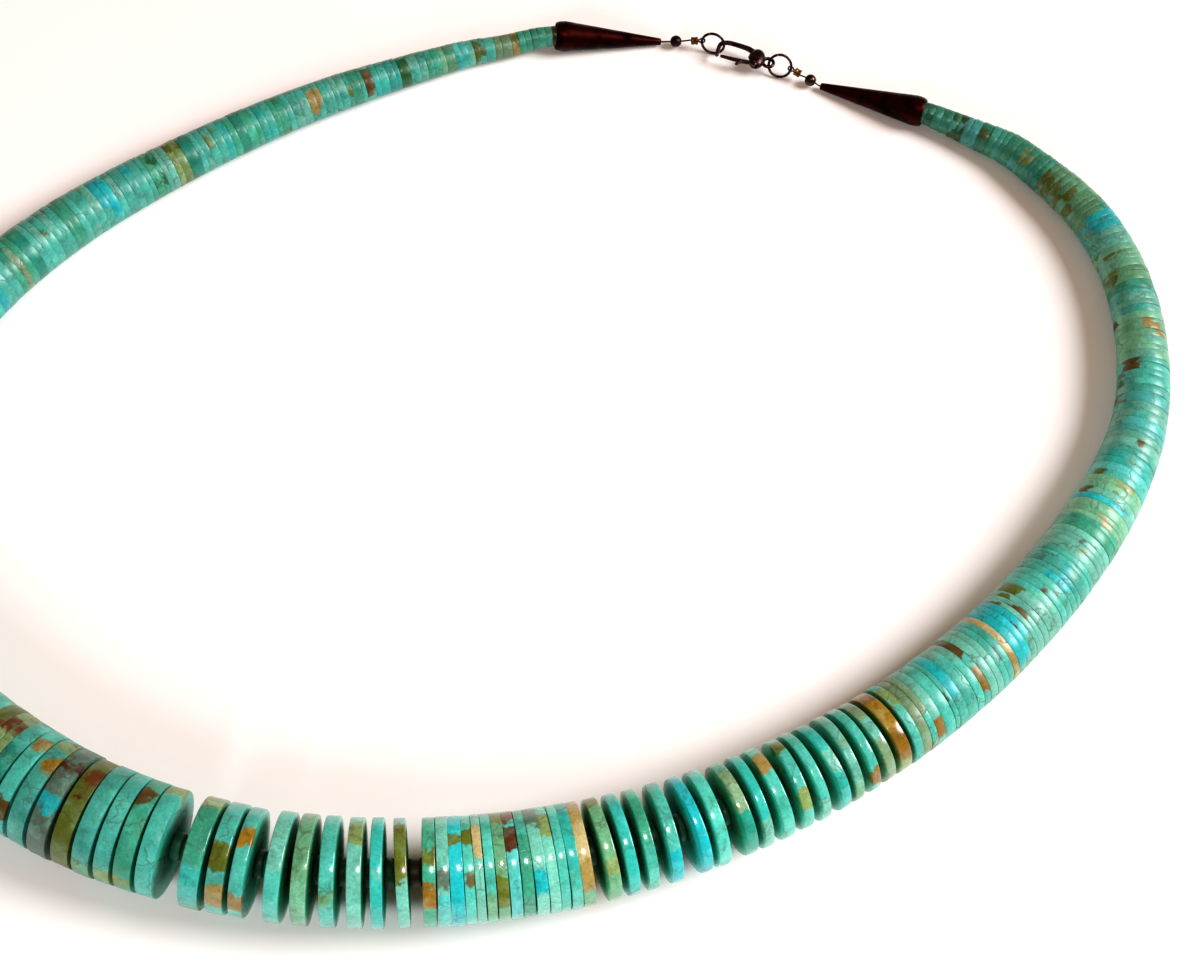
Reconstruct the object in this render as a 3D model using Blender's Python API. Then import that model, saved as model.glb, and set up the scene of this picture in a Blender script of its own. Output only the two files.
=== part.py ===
"""Graduated disc bead necklace, lying closed on a table.

The strand runs from the right end cone, round the front, to the left end cone. Behind it a
lobster clasp on two jump rings closes the loop. Z is up, the table is Z = 0, and the viewer
looks along +Y.
"""
import math

import bmesh
import bpy
import numpy as np
from mathutils import Matrix, Vector

MM = 0.001

# Strand
LOOP_WIDTH = 161.93 * MM        # across the loop's centre line
LARGEST_DISC = 13.2 * MM        # diameter of the largest bead
DISC_SIDES = 12
STRING_SIDES = 10
DISC_BORE = 1.8 * MM            # hole drilled through each disc
TIGHT_BEAD = 1.7 * MM           # thickness of a bead in the tight strings
TIGHT_STEP = 0.94               # every second tight bead is this much smaller
CORE = 1.0 * MM                 # cord inside the bores, with its doubled wire
SPACER = 3.2 * MM               # small beads seen between the spaced discs
SPACER_CLEARANCE = 0.15 * MM
CORE_SIDES = 8
SMALLEST_SPACER = 0.5 * MM      # a gap has to be this wide to hold a spacer
HEADING_REACH = 0.4 * MM        # the strand's heading is read this far on each side
TABLE_UNIT = 1.0 * MM           # one unit of the bead tables below

# End cones and the wire that closes the loop
CONE_LENGTH = 15.5 * MM
CONE_MOUTH = 4.3 * MM           # widest, where the rounded mouth ends
CONE_OPENING = 3.6 * MM
CONE_SHOULDER = 1.5 * MM        # length of the rounded mouth
CONE_TIP = 1.0 * MM
CONE_WALL = 0.3 * MM
CONE_TIP_HEIGHT = 0.8 * MM
CONE_TIP_BORE = 0.5 * MM
CONE_TIP_LAND = 0.7 * MM        # length of the bore at the tip
STRING_IN_CONE = 1.2 * MM
LIFT_RUN = 9.0 * MM             # the strand rises to the cone's mouth along this length
WIRE = 0.24 * MM
EYE_RADIUS = 0.28 * MM          # inside radius of the wire's eye round a jump ring
END_BEAD = 1.7 * MM
END_BORE = 0.7 * MM             # bore of the end bead and the crimp, for a doubled wire
CRIMP = 1.15 * MM
CRIMP_LENGTH = 1.0 * MM
LANE_GAP = 0.08 * MM            # between the two lanes of the doubled wire
CONE_SIDES = 12
MOUTH_STEPS = 5
END_BEAD_SIDES = 12
CRIMP_SIDES = 10
EYE_OPENING = math.radians(60)  # part of the wire's eye left open at its neck

# Jump rings
RING_RADIUS = 1.65 * MM         # to the middle of its wire
RING_WIRE = 0.4 * MM
RING_SIDES = 14
LEFT_RING_TILT = math.radians(76)
RIGHT_RING_TILT = math.radians(60)

# Lobster clasp: U runs from its nose to its tail, V away from the lever
CLASP_SPOT = (25.5, 65.55)       # in the units of the route below
CLASP_HEADING = math.radians(-11)
CLASP_BASE = (2.5 * MM, 3.5 * MM, 1.7 * MM)
CLASP_BASE_CENTRE = (1.7 * MM, 0.1 * MM)
CLASP_ARM = 0.74 * MM
HOOK_POINT = (-3.4 * MM, 0.8 * MM)
TAIL_EYE_CENTRE = 3.5 * MM
TAIL_EYE_RADIUS = 0.76 * MM
TAIL_EYE_WIRE = 0.5 * MM
PIVOT = (1.5 * MM, -0.8 * MM)
PIN = 0.5 * MM
PIN_LENGTH = 1.3 * MM
PIN_CLEARANCE = 0.08 * MM
LEVER_THICKNESS = 0.7 * MM
LEVER_KNUCKLE = 1.1 * MM
SLOT_CLEARANCE = 0.1 * MM
GATE_BEND = (-0.8 * MM, -1.0 * MM)
GATE_TIP = -1.05 * MM           # V of the gate's tip, which stops inside the nose
STUB = ((-0.3 * MM, -1.0 * MM), (-1.0 * MM, -1.85 * MM))

# The loop's route in plan, from the right cone's tip round the front to the left cone's tip. Its
# units are scaled until the loop has its width, and are millimetres at the width given above.
LOOP_ROUTE = [
    (36.8, 62.5), (51.5, 58.6), (59.9, 55.6), (66.5, 51.8), (76.3, 41.4), (81.3, 27.4), (81.1, 10.4),
    (74.3, -6.4), (62.9, -22.8), (48.9, -36.8), (32.5, -48.2), (14.3, -56.4), (-5.3, -61.0),
    (-25.1, -61.8), (-44.7, -57.8), (-62.5, -48.6), (-73.3, -38.0), (-79.1, -24.4), (-79.5, -9.6),
    (-74.5, 6.6), (-64.7, 21.8), (-50.7, 35.8), (-34.9, 48.2), (-17.9, 58.6), (-9.3, 62.6), (-1.8, 65.2),
    (13.1, 67.4),
]

# How the beads grow along the strand: share of the way, share of the largest diameter
GRADUATION = [
    (0.00, 0.240), (0.03, 0.350), (0.065, 0.440), (0.12, 0.510), (0.155, 0.545), (0.20, 0.655),
    (0.27, 0.745), (0.335, 0.840), (0.41, 0.925), (0.50, 0.965), (0.57, 1.000), (0.62, 0.970),
    (0.69, 0.840), (0.785, 0.600), (0.85, 0.480), (0.92, 0.385), (0.965, 0.290), (1.00, 0.215),
]

# Front discs from right to left: group, each disc's (thickness, gap after it, turn in degrees)
FRONT_START = 0.3043            # share of the strand where the front discs begin
BLOCK_GAP = 0.12                # hairline between the discs of the middle block
FRONT_GROUPS = [
    ("spaced_right", [
        (1.7, 0.75, 0), (1.25, 0.8, 2), (1.15, 1.0, 0), (1.15, 1.05, -2), (1.3, 1.25, 2), (1.15, 0.9, 0),
        (1.3, 1.4, -2), (1.45, 1.15, 1), (1.15, 0.95, 0), (1.4, 1.85, 2), (1.45, 0.95, 0), (1.2, 1.85, 3),
        (1.4, 1.5, -1), (1.25, 1.05, 0), (1.35, 0.9, 1), (1.45, 1.25, 3),
    ]),
    ("block", [
        (1.35, BLOCK_GAP, 0), (1.2, BLOCK_GAP, 0), (1.0, BLOCK_GAP, 0), (1.15, BLOCK_GAP, 0),
        (1.35, BLOCK_GAP, 0), (1.25, BLOCK_GAP, 0), (1.25, BLOCK_GAP, 0), (1.25, BLOCK_GAP, 0),
        (1.05, BLOCK_GAP, 0), (0.95, BLOCK_GAP, 0), (1.1, BLOCK_GAP, 0), (1.45, BLOCK_GAP, 0),
        (1.3, BLOCK_GAP, 0), (1.5, 1.7, 0),
    ]),
    ("spaced_left", [
        (1.35, 1.35, 3), (1.35, 0.95, 1), (1.65, 1.25, 1), (1.65, 1.2, 1), (1.75, 1.05, 0), (1.75, 2.1, -1),
        (1.6, 0.5, -1), (2.0, 0.7, 0), (2.3, 2.7, 0),
    ]),
]
# Thick beads at the right end of the left string: thickness, gap after it
LEFT_THICK_BEADS = [
    (2.0, 0.35), (2.05, 0.35), (1.9, 0.35), (2.1, 0.3), (2.2, 0.45), (2.3, 0.35), (2.1, 0.35), (1.8, 0.25),
    (1.8, 0.1),
]

# Colour, metallic and roughness of each material
MATERIALS = {
    "turquoise_green": ((0.10, 0.42, 0.33), 0.0, 0.30),
    "turquoise_blue": ((0.08, 0.50, 0.50), 0.0, 0.28),
    "olive_matrix": ((0.24, 0.26, 0.09), 0.0, 0.35),
    "tan_matrix": ((0.45, 0.28, 0.12), 0.0, 0.35),
    "spacer_stone": ((0.03, 0.16, 0.13), 0.0, 0.40),
    "dark_copper": ((0.09, 0.025, 0.018), 0.9, 0.38),
    "aged_brass": ((0.30, 0.16, 0.05), 0.9, 0.35),
    "gunmetal": ((0.10, 0.085, 0.09), 1.0, 0.30),
}
DISC_TINTS = ["turquoise_green", "turquoise_blue", "turquoise_green", "olive_matrix", "turquoise_blue",
              "turquoise_green", "tan_matrix"]


def clear_scene():
    for item in list(bpy.data.objects):
        bpy.data.objects.remove(item, do_unlink=True)


def new_material(name):
    colour, metallic, roughness = MATERIALS[name]
    material = bpy.data.materials.new(name)
    material.use_nodes = True
    shader = material.node_tree.nodes["Principled BSDF"]
    shader.inputs["Base Color"].default_value = (*colour, 1.0)
    shader.inputs["Metallic"].default_value = metallic
    shader.inputs["Roughness"].default_value = roughness
    return material


def collection(name):
    group = bpy.data.collections.new(name)
    bpy.context.scene.collection.children.link(group)
    return group


def add_object(name, bm, group, matrix=None, material=None, smooth=False):
    """Put a finished bmesh into the scene as one object."""
    bmesh.ops.recalc_face_normals(bm, faces=bm.faces)
    mesh = bpy.data.meshes.new(name)
    bm.to_mesh(mesh)
    bm.free()
    if smooth:
        mesh.shade_smooth()
    item = bpy.data.objects.new(name, mesh)
    if matrix is not None:
        item.matrix_world = matrix
    if material:
        mesh.materials.append(new_material(material))
    group.objects.link(item)
    return item


def smooth_path(points, steps=12):
    """Catmull-Rom curve through the points, as a dense array."""
    points = np.array(points, dtype=float)
    ends = [2 * points[0] - points[1]], [2 * points[-1] - points[-2]]
    padded = np.concatenate([ends[0], points, ends[1]])
    share = np.linspace(0, 1, steps, endpoint=False)[:, None]
    spans = []
    for before, start, end, after in zip(padded, padded[1:], padded[2:], padded[3:]):
        spans.append(0.5 * (2 * start + (end - before) * share
                            + (2 * before - 5 * start + 4 * end - after) * share ** 2
                            + (3 * start - before - 3 * end + after) * share ** 3))
    return np.concatenate(spans + [points[-1:]])


def route_unit():
    """Length of one unit of the route's table."""
    across = smooth_path(LOOP_ROUTE, 16)[:, 0]
    return LOOP_WIDTH / (across.max() - across.min())


def mouth_height():
    """Height of a cone's mouth, whose widest ring touches the table."""
    share = CONE_SHOULDER / CONE_LENGTH
    return (CONE_MOUTH / 2 - CONE_TIP_HEIGHT * share) / (1 - share)


class Strand:
    """The loop's centre line in plan; distances are measured from the right cone's mouth."""

    def __init__(self):
        self.path = smooth_path(LOOP_ROUTE, 16) * route_unit()
        steps = np.linalg.norm(np.diff(self.path, axis=0), axis=1)
        self.reached = np.concatenate([[0], np.cumsum(steps)])
        self.start = self.cone_reach(self.path)
        self.length = self.reached[-1] - self.start - self.cone_reach(self.path[::-1])

    @staticmethod
    def cone_reach(path):
        """How far along the route, from a cone's tip, its straight axis meets it again."""
        run = math.sqrt(CONE_LENGTH ** 2 - (mouth_height() - CONE_TIP_HEIGHT) ** 2)
        straight = np.linalg.norm(path - path[0], axis=1)
        reached = np.concatenate([[0], np.cumsum(np.linalg.norm(np.diff(path, axis=0), axis=1))])
        farthest = int(np.argmax(straight))
        return float(np.interp(run, straight[:farthest], reached[:farthest]))

    def point(self, distance):
        at = self.start + distance
        return Vector([np.interp(at, self.reached, self.path[:, axis]) for axis in (0, 1)])

    def plan(self, distance):
        """Place and heading at a distance."""
        ahead = self.point(distance + HEADING_REACH) - self.point(distance - HEADING_REACH)
        return self.point(distance), ahead.normalized()

    def diameter(self, distance):
        table = np.array(GRADUATION)
        return LARGEST_DISC * float(np.interp(distance / self.length, table[:, 0], table[:, 1]))

    def height(self, distance, radius, sides):
        """Height of a bead's centre: its lowest facet is on the table, or it rises to a cone."""
        resting = radius * math.cos(math.pi / sides)
        to_end = max(min(distance, self.length - distance), 0.0)
        share = max(1 - to_end / LIFT_RUN, 0.0)
        ease = share * share * (3 - 2 * share)
        return resting + (mouth_height() - resting) * ease

    def matrix(self, distance, height, turn=0.0):
        """Frame of a bead: Z along the strand, Y up."""
        place, heading = self.plan(distance)
        heading = Matrix.Rotation(turn, 2) @ heading
        side = Vector((heading.y, -heading.x, 0.0))
        frame = Matrix((side, (0, 0, 1), (heading.x, heading.y, 0.0))).transposed().to_4x4()
        frame.translation = (place.x, place.y, height)
        return frame


def facet_angle(index, sides):
    """Angle of a corner, with the middle of one facet straight down."""
    return -math.pi / 2 + (index + 0.5) * 2 * math.pi / sides


def turned(profile, sides):
    """Solid of revolution about Z from a closed profile of (radius, z) points."""
    bm = bmesh.new()
    turn = facet_angle(0, sides)
    corners = [bm.verts.new((radius * math.cos(turn), radius * math.sin(turn), z))
               for radius, z in profile]
    edges = [bm.edges.new((corner, corners[(index + 1) % len(corners)]))
             for index, corner in enumerate(corners)]
    bmesh.ops.spin(bm, geom=corners + edges, cent=(0, 0, 0), axis=(0, 0, 1), dvec=(0, 0, 0),
                   angle=2 * math.pi, steps=sides, use_merge=True)
    bmesh.ops.remove_doubles(bm, verts=bm.verts, dist=0.001 * MM)
    return bm


def threaded(strand, stations, sides):
    """Closed body along the strand through stations of (distance, radius, height)."""
    bm = bmesh.new()
    rings = []
    for distance, radius, height in stations:
        frame = strand.matrix(distance, height)
        ring = []
        for index in range(sides):
            angle = facet_angle(index, sides)
            ring.append(bm.verts.new(frame @ Vector((radius * math.cos(angle), radius * math.sin(angle), 0))))
        rings.append(ring)
    for near, far in zip(rings, rings[1:]):
        for index in range(sides):
            after = (index + 1) % sides
            bm.faces.new((near[index], near[after], far[after], far[index]))
    bm.faces.new(rings[0])
    bm.faces.new(rings[-1])
    return bm


def tube(name, points, radii, sides, group):
    """A capped tube through the points, as a mesh object made from a bevelled curve."""
    curve = bpy.data.curves.new(name, "CURVE")
    curve.dimensions = "3D"
    curve.bevel_depth = 1.0 * MM
    curve.bevel_resolution = (sides - 4) // 2
    curve.use_fill_caps = True
    spline = curve.splines.new("POLY")
    spline.points.add(len(points) - 1)
    for knot, point, radius in zip(spline.points, points, radii):
        knot.co = (*point, 1.0)
        knot.radius = radius / curve.bevel_depth
    holder = bpy.data.objects.new(name + "_curve", curve)
    bpy.context.scene.collection.objects.link(holder)
    mesh = bpy.data.meshes.new_from_object(holder.evaluated_get(bpy.context.evaluated_depsgraph_get()))
    bpy.data.objects.remove(holder, do_unlink=True)
    bm = bmesh.new()
    bm.from_mesh(mesh)
    bpy.data.meshes.remove(mesh)
    bmesh.ops.remove_doubles(bm, verts=bm.verts, dist=0.001 * MM)
    return add_object(name, bm, group)


def combine(target, tool, operation):
    """Apply one exact Boolean to the target and drop its modifier."""
    step = target.modifiers.new(operation.lower(), "BOOLEAN")
    step.operation = operation
    step.solver = "EXACT"
    step.object = tool
    result = bpy.data.meshes.new_from_object(target.evaluated_get(bpy.context.evaluated_depsgraph_get()))
    target.modifiers.clear()
    target.data = result
    tool.hide_render = True
    tool.display_type = "WIRE"


def finish(item, matrix, material, smooth=True):
    item.matrix_world = matrix
    item.data.materials.clear()
    item.data.materials.append(new_material(material))
    if smooth:
        item.data.shade_smooth()


def layout_front(strand):
    """Middle distance, thickness, turn and gap after it of every front disc."""
    rows = []
    reached = FRONT_START * strand.length
    for _, discs in FRONT_GROUPS:
        for thickness, gap, turn in discs:
            thickness, gap = thickness * TABLE_UNIT, gap * TABLE_UNIT
            rows.append((reached + thickness / 2, thickness, math.radians(turn), gap))
            reached += thickness + gap
    return rows, reached


def build_discs(strand, rows, group):
    for number, (middle, thickness, turn, _) in enumerate(rows, start=1):
        radius = strand.diameter(middle) / 2
        half = thickness / 2
        profile = [(DISC_BORE / 2, -half), (radius, -half), (radius, half), (DISC_BORE / 2, half)]
        place = strand.matrix(middle, strand.height(middle, radius, DISC_SIDES), turn)
        tint = DISC_TINTS[number % len(DISC_TINTS)]
        add_object(f"disc_{number:02d}", turned(profile, DISC_SIDES), group, place, tint)


def tight_stations(strand, start, end):
    """Stations of beads set face to face, of two alternating sizes."""
    count = max(round((end - start) / TIGHT_BEAD), 1)
    edges = np.linspace(start, end, count + 1)
    stations = []
    for index, (near, far) in enumerate(zip(edges, edges[1:])):
        full = strand.diameter((near + far) / 2) / 2
        radius = full * (TIGHT_STEP if index % 2 else 1.0)
        height = strand.height((near + far) / 2, full, STRING_SIDES)
        stations += [(near, radius, height), (far, radius, height)]
    return stations


def build_strings(strand, front_end, group):
    front_start = FRONT_START * strand.length
    right = tight_stations(strand, -STRING_IN_CONE, front_start - SPACER_CLEARANCE)
    add_object("right_string", threaded(strand, right, STRING_SIDES), group, None, "turquoise_green")
    left = []
    reached = front_end
    for thickness, gap in LEFT_THICK_BEADS:
        far = reached + thickness * TABLE_UNIT
        middle = (reached + far) / 2
        radius = strand.diameter(middle) / 2
        height = strand.height(middle, radius, STRING_SIDES)
        left += [(reached, radius, height), (far, radius, height)]
        reached = far + gap * TABLE_UNIT
        left += [(far, SPACER / 2, height), (reached, SPACER / 2, height)]
    left += tight_stations(strand, reached, strand.length + STRING_IN_CONE)
    add_object("left_string", threaded(strand, left, STRING_SIDES), group, None, "turquoise_green")


def build_core(strand, rows, front_end, group):
    """The cord through the front discs, with a spacer bead in each wide gap."""
    def station(distance, radius):
        resting = strand.height(distance, strand.diameter(distance) / 2, DISC_SIDES)
        return distance, radius, resting

    stations = [station(FRONT_START * strand.length + SPACER_CLEARANCE, CORE / 2)]
    for middle, thickness, _, gap in rows:
        if gap < SMALLEST_SPACER:
            stations.append(station(middle, CORE / 2))
            continue
        near = middle + thickness / 2 + SPACER_CLEARANCE
        far = near + gap - 2 * SPACER_CLEARANCE
        stations += [station(near, CORE / 2), station(near, SPACER / 2)]
        stations += [station(far, SPACER / 2), station(far, CORE / 2)]
    stations.pop()
    add_object("core_cord", threaded(strand, stations, CORE_SIDES), group, None, "spacer_stone")


def axis_frame(place, direction):
    """Frame with Z along a direction."""
    frame = direction.to_track_quat("Z", "Y").to_matrix().to_4x4()
    frame.translation = place
    return frame


def cone_axis(strand, side):
    """Mouth centre, tip centre and direction of one end cone."""
    place = strand.point(0.0 if side == "right" else strand.length)
    mouth = Vector((place.x, place.y, mouth_height()))
    tip = Vector((*strand.path[0 if side == "right" else -1], CONE_TIP_HEIGHT))
    return mouth, tip, (tip - mouth).normalized()


def build_cone(strand, side, group):
    """A long hollow cone whose rounded mouth takes the string's end."""
    mouth, _, direction = cone_axis(strand, side)
    opening, widest, bore = CONE_OPENING / 2, CONE_MOUTH / 2, CONE_TIP_BORE / 2
    profile = [(opening + (widest - opening) * math.sin(angle), CONE_SHOULDER * (1 - math.cos(angle)))
               for angle in np.linspace(0, math.pi / 2, MOUTH_STEPS)]
    profile += [
        (CONE_TIP / 2, CONE_LENGTH), (bore, CONE_LENGTH), (bore, CONE_LENGTH - CONE_TIP_LAND),
        (widest - CONE_WALL, CONE_SHOULDER), (opening, CONE_WALL),
    ]
    place = axis_frame(mouth, direction)
    add_object(f"{side}_cone", turned(profile, CONE_SIDES), group, place, "dark_copper", smooth=True)


def clasp_frame():
    """Clasp frame: U along X, V along Y, at the height of the standing jump ring."""
    height = RING_RADIUS * math.sin(LEFT_RING_TILT) + RING_WIRE / 2
    place = np.array(CLASP_SPOT) * route_unit()
    return Matrix.Translation((*place, height)) @ Matrix.Rotation(CLASP_HEADING, 4, "Z")


def ring_centre(side):
    """Centre of a jump ring in the clasp's own U and V."""
    if side == "left":
        return HOOK_POINT[0] - RING_RADIUS, HOOK_POINT[1]
    slack = TAIL_EYE_RADIUS - TAIL_EYE_WIRE / 2 - RING_WIRE / 2
    return TAIL_EYE_CENTRE + slack / 3 + RING_RADIUS, 0.0


def build_jump_ring(side, group):
    tilt = LEFT_RING_TILT if side == "left" else RIGHT_RING_TILT
    u, v = ring_centre(side)
    bm = turned(circle_profile(RING_RADIUS, RING_WIRE / 2, 6), RING_SIDES)
    place = clasp_frame() @ Matrix.Translation((u, v, 0)) @ Matrix.Rotation(tilt, 4, "X")
    add_object(f"{side}_jump_ring", bm, group, place, "gunmetal", smooth=True)


def circle_profile(radius, thickness, sides):
    """Closed profile of a round wire at a radius."""
    return [(radius + thickness * math.cos(2 * math.pi * index / sides),
             thickness * math.sin(2 * math.pi * index / sides)) for index in range(sides)]


def build_end_link(strand, side, group):
    """Crimp at a jump ring, bead halfway from it to the cone's tip, and the wire through both."""
    u, v = ring_centre(side)
    outward = -1 if side == "left" else 1
    held = clasp_frame() @ Vector((u + outward * RING_RADIUS, v, 0))
    _, tip, cone_direction = cone_axis(strand, side)
    direction = (tip - held).normalized()
    frame = axis_frame(held, direction)
    eye = EYE_RADIUS + WIRE / 2
    neck = EYE_RADIUS + WIRE + LANE_GAP
    half = CRIMP_LENGTH / 2
    crimp_middle = neck + half
    span = (tip - held).length
    bead_middle = (crimp_middle + half + span) / 2

    bore = END_BORE / 2
    crimp = [(bore, -half), (CRIMP / 2, -half), (CRIMP / 2, half), (bore, half)]
    place = frame @ Matrix.Translation((0, 0, crimp_middle))
    add_object(f"{side}_crimp", turned(crimp, CRIMP_SIDES), group, place, "aged_brass", smooth=True)

    radius = END_BEAD / 2
    start = math.acos(bore / radius)
    arc = np.linspace(start, -start, END_BEAD_SIDES // 2 + 1)
    bead = [(radius * math.cos(angle), radius * math.sin(angle)) for angle in arc]
    place = frame @ Matrix.Translation((0, 0, bead_middle))
    add_object(f"{side}_end_bead", turned(bead, END_BEAD_SIDES), group, place, "gunmetal", smooth=True)

    lane = WIRE / 2 + LANE_GAP / 2
    half_turn = math.pi - EYE_OPENING / 2
    loop = [Vector((eye * math.sin(angle), 0, -eye * math.cos(angle)))
            for angle in np.linspace(half_turn, -half_turn, RING_SIDES)]
    inside = tip - cone_direction * (CONE_LENGTH - STRING_IN_CONE - LIFT_RUN / 4)
    points = [Vector((lane, 0, crimp_middle + half / 2)), Vector((lane, 0, neck))] + loop
    points += [Vector((-lane, 0, neck)), Vector((-lane, 0, crimp_middle + half)), Vector((0, 0, bead_middle)),
               Vector((0, 0, span))]
    points = [frame @ point for point in points] + [inside]
    wire = tube(f"{side}_wire", points, [WIRE / 2] * len(points), 6, group)
    finish(wire, Matrix(), "gunmetal")


def primitive(name, group, kind, matrix, **sizes):
    """A bmesh primitive as an object."""
    bm = bmesh.new()
    kind(bm, matrix=matrix, **sizes)
    return add_object(name, bm, group)


def build_clasp_body(group, helpers):
    """Cast body: a hooked arm, a base with the lever's slot, and the tail eye."""
    middle = (*CLASP_BASE_CENTRE, 0.0)
    base_size = Matrix.Diagonal((*CLASP_BASE, 1.0))
    body = primitive("clasp_body", group, bmesh.ops.create_uvsphere,
                     Matrix.Translation(middle) @ base_size, u_segments=12, v_segments=8, radius=0.5)
    back, far = CLASP_BASE[0], CLASP_BASE[1] / 2
    reach = -HOOK_POINT[0]
    thick = CLASP_ARM / 2
    nose = reach + RING_WIRE / 2 + thick + PIN_CLEARANCE
    # Middle line of the arm, from inside the base over the far side to the nose: U, V, radius
    line = [
        (back * 0.45, far * 0.62, thick * 1.25), (back * 0.08, far * 0.85, thick * 1.1),
        (-reach * 0.35, far * 0.94, thick), (-reach * 0.85, far * 0.94, thick * 0.95),
        (-nose * 0.96, far * 0.66, thick * 0.88), (-nose, far * 0.06, thick * 0.82),
        (-nose * 0.98, -far * 0.68, thick * 0.74),
    ]
    dense = smooth_path(line, 3)
    arm = tube("clasp_arm_helper", [(u, v, 0) for u, v, _ in dense], dense[:, 2], 8, helpers)
    combine(body, arm, "UNION")
    eye = add_object("clasp_eye_helper", turned(circle_profile(TAIL_EYE_RADIUS, TAIL_EYE_WIRE / 2, 6), 14),
                     helpers, Matrix.Translation((TAIL_EYE_CENTRE, 0, 0)))
    bpy.context.view_layer.update()
    combine(body, eye, "UNION")
    slot_height = LEVER_THICKNESS + 2 * SLOT_CLEARANCE
    slot_right = PIVOT[0] + LEVER_KNUCKLE / 2 + SLOT_CLEARANCE
    slot_top = PIVOT[1] + LEVER_KNUCKLE * 0.8
    slot_left, slot_bottom = -back * 0.2, -CLASP_BASE[1]
    size = Matrix.Diagonal((slot_right - slot_left, slot_top - slot_bottom, slot_height, 1.0))
    place = Matrix.Translation(((slot_right + slot_left) / 2, (slot_top + slot_bottom) / 2, 0))
    slot = primitive("lever_slot_helper", helpers, bmesh.ops.create_cube, place @ size, size=1.0)
    combine(body, slot, "DIFFERENCE")
    bore = PIN / 2 + PIN_CLEARANCE
    hole = primitive("pin_hole_helper", helpers, bmesh.ops.create_cone, Matrix.Translation((*PIVOT, 0)),
                     cap_ends=True, segments=10, radius1=bore, radius2=bore, depth=4 * CLASP_BASE[2])
    combine(body, hole, "DIFFERENCE")
    finish(body, clasp_frame(), "gunmetal")


def build_lever(group, helpers):
    """Gate that closes against the inside of the nose, with its thumb stub."""
    to_pivot = Matrix.Translation((-PIVOT[0], -PIVOT[1], 0))
    lever = primitive("clasp_lever", group, bmesh.ops.create_cone, Matrix(), cap_ends=True, segments=12,
                      radius1=LEVER_KNUCKLE / 2, radius2=LEVER_KNUCKLE / 2, depth=LEVER_THICKNESS)
    thick = LEVER_THICKNESS / 2
    tip = HOOK_POINT[0] - SLOT_CLEARANCE
    gate_line = [PIVOT, GATE_BEND, (tip, GATE_TIP)]
    gate = tube("gate_helper", [to_pivot @ Vector((u, v, 0)) for u, v in gate_line],
                [thick * 0.94, thick * 0.86, thick * 0.68], 8, helpers)
    combine(lever, gate, "UNION")
    stub = tube("stub_helper", [to_pivot @ Vector((u, v, 0)) for u, v in STUB],
                [thick * 0.75, thick * 0.6], 8, helpers)
    combine(lever, stub, "UNION")
    bore = PIN / 2 + PIN_CLEARANCE
    hole = primitive("lever_hole_helper", helpers, bmesh.ops.create_cone, Matrix(), cap_ends=True,
                     segments=10, radius1=bore, radius2=bore, depth=3 * LEVER_THICKNESS)
    combine(lever, hole, "DIFFERENCE")
    finish(lever, clasp_frame() @ Matrix.Translation((*PIVOT, 0)), "gunmetal")


def build_pin(group):
    pin = primitive("clasp_pin", group, bmesh.ops.create_cone, Matrix(), cap_ends=True, segments=10,
                    radius1=PIN / 2, radius2=PIN / 2, depth=PIN_LENGTH)
    finish(pin, clasp_frame() @ Matrix.Translation((*PIVOT, 0)), "gunmetal")


def main():
    clear_scene()
    necklace = collection("beaded_necklace")
    helpers = collection("helpers")
    strand = Strand()
    rows, front_end = layout_front(strand)
    build_discs(strand, rows, necklace)
    build_strings(strand, front_end, necklace)
    build_core(strand, rows, front_end, necklace)
    for side in ("left", "right"):
        build_cone(strand, side, necklace)
        build_jump_ring(side, necklace)
        build_end_link(strand, side, necklace)
    build_clasp_body(necklace, helpers)
    build_lever(necklace, helpers)
    build_pin(necklace)


main()
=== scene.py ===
import math

import bmesh
import bpy
import numpy as np
from mathutils import Matrix, Vector


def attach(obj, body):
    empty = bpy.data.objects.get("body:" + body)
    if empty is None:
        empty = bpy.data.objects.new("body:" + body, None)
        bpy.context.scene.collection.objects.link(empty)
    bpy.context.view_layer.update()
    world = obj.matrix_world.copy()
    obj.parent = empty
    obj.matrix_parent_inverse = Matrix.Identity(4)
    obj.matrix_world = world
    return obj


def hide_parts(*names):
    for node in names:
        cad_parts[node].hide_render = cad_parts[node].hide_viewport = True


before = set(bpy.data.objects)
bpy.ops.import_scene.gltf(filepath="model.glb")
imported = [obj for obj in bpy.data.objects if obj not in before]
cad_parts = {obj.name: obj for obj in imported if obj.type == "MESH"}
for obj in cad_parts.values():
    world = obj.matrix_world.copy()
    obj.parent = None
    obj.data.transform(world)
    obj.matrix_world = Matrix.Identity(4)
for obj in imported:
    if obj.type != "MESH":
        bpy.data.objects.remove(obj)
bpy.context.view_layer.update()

mm = 0.001
scene = bpy.context.scene

# Named tints of the stone and metal, as web colours
tints = {
    "turquoise": "56b7a8", "mint": "70baa9", "paleGreen": "79ba99", "seaGreen": "45a58a",
    "teal": "229583", "deepTeal": "147460", "sky": "10b6bc", "paleSky": "5cc0ba", "bright": "38b6ac",
    "forest": "2a6e3e", "jade": "6ca682", "sage": "80a07f", "lichen": "86a06a", "olive": "6a762a",
    "darkOlive": "4c4a16", "honey": "8f7020", "gold": "a08024", "tan": "a2905c", "cream": "bab080",
    "brown": "6a561e", "rust": "744c12", "redBrown": "5e300e", "slate": "647c6e",
}
# Polish adds white, so some is taken off each tint
tintGain = {"gain": 0.96, "gloss": 0.030, "least": 0.6, "darkest": 0.003}


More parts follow.
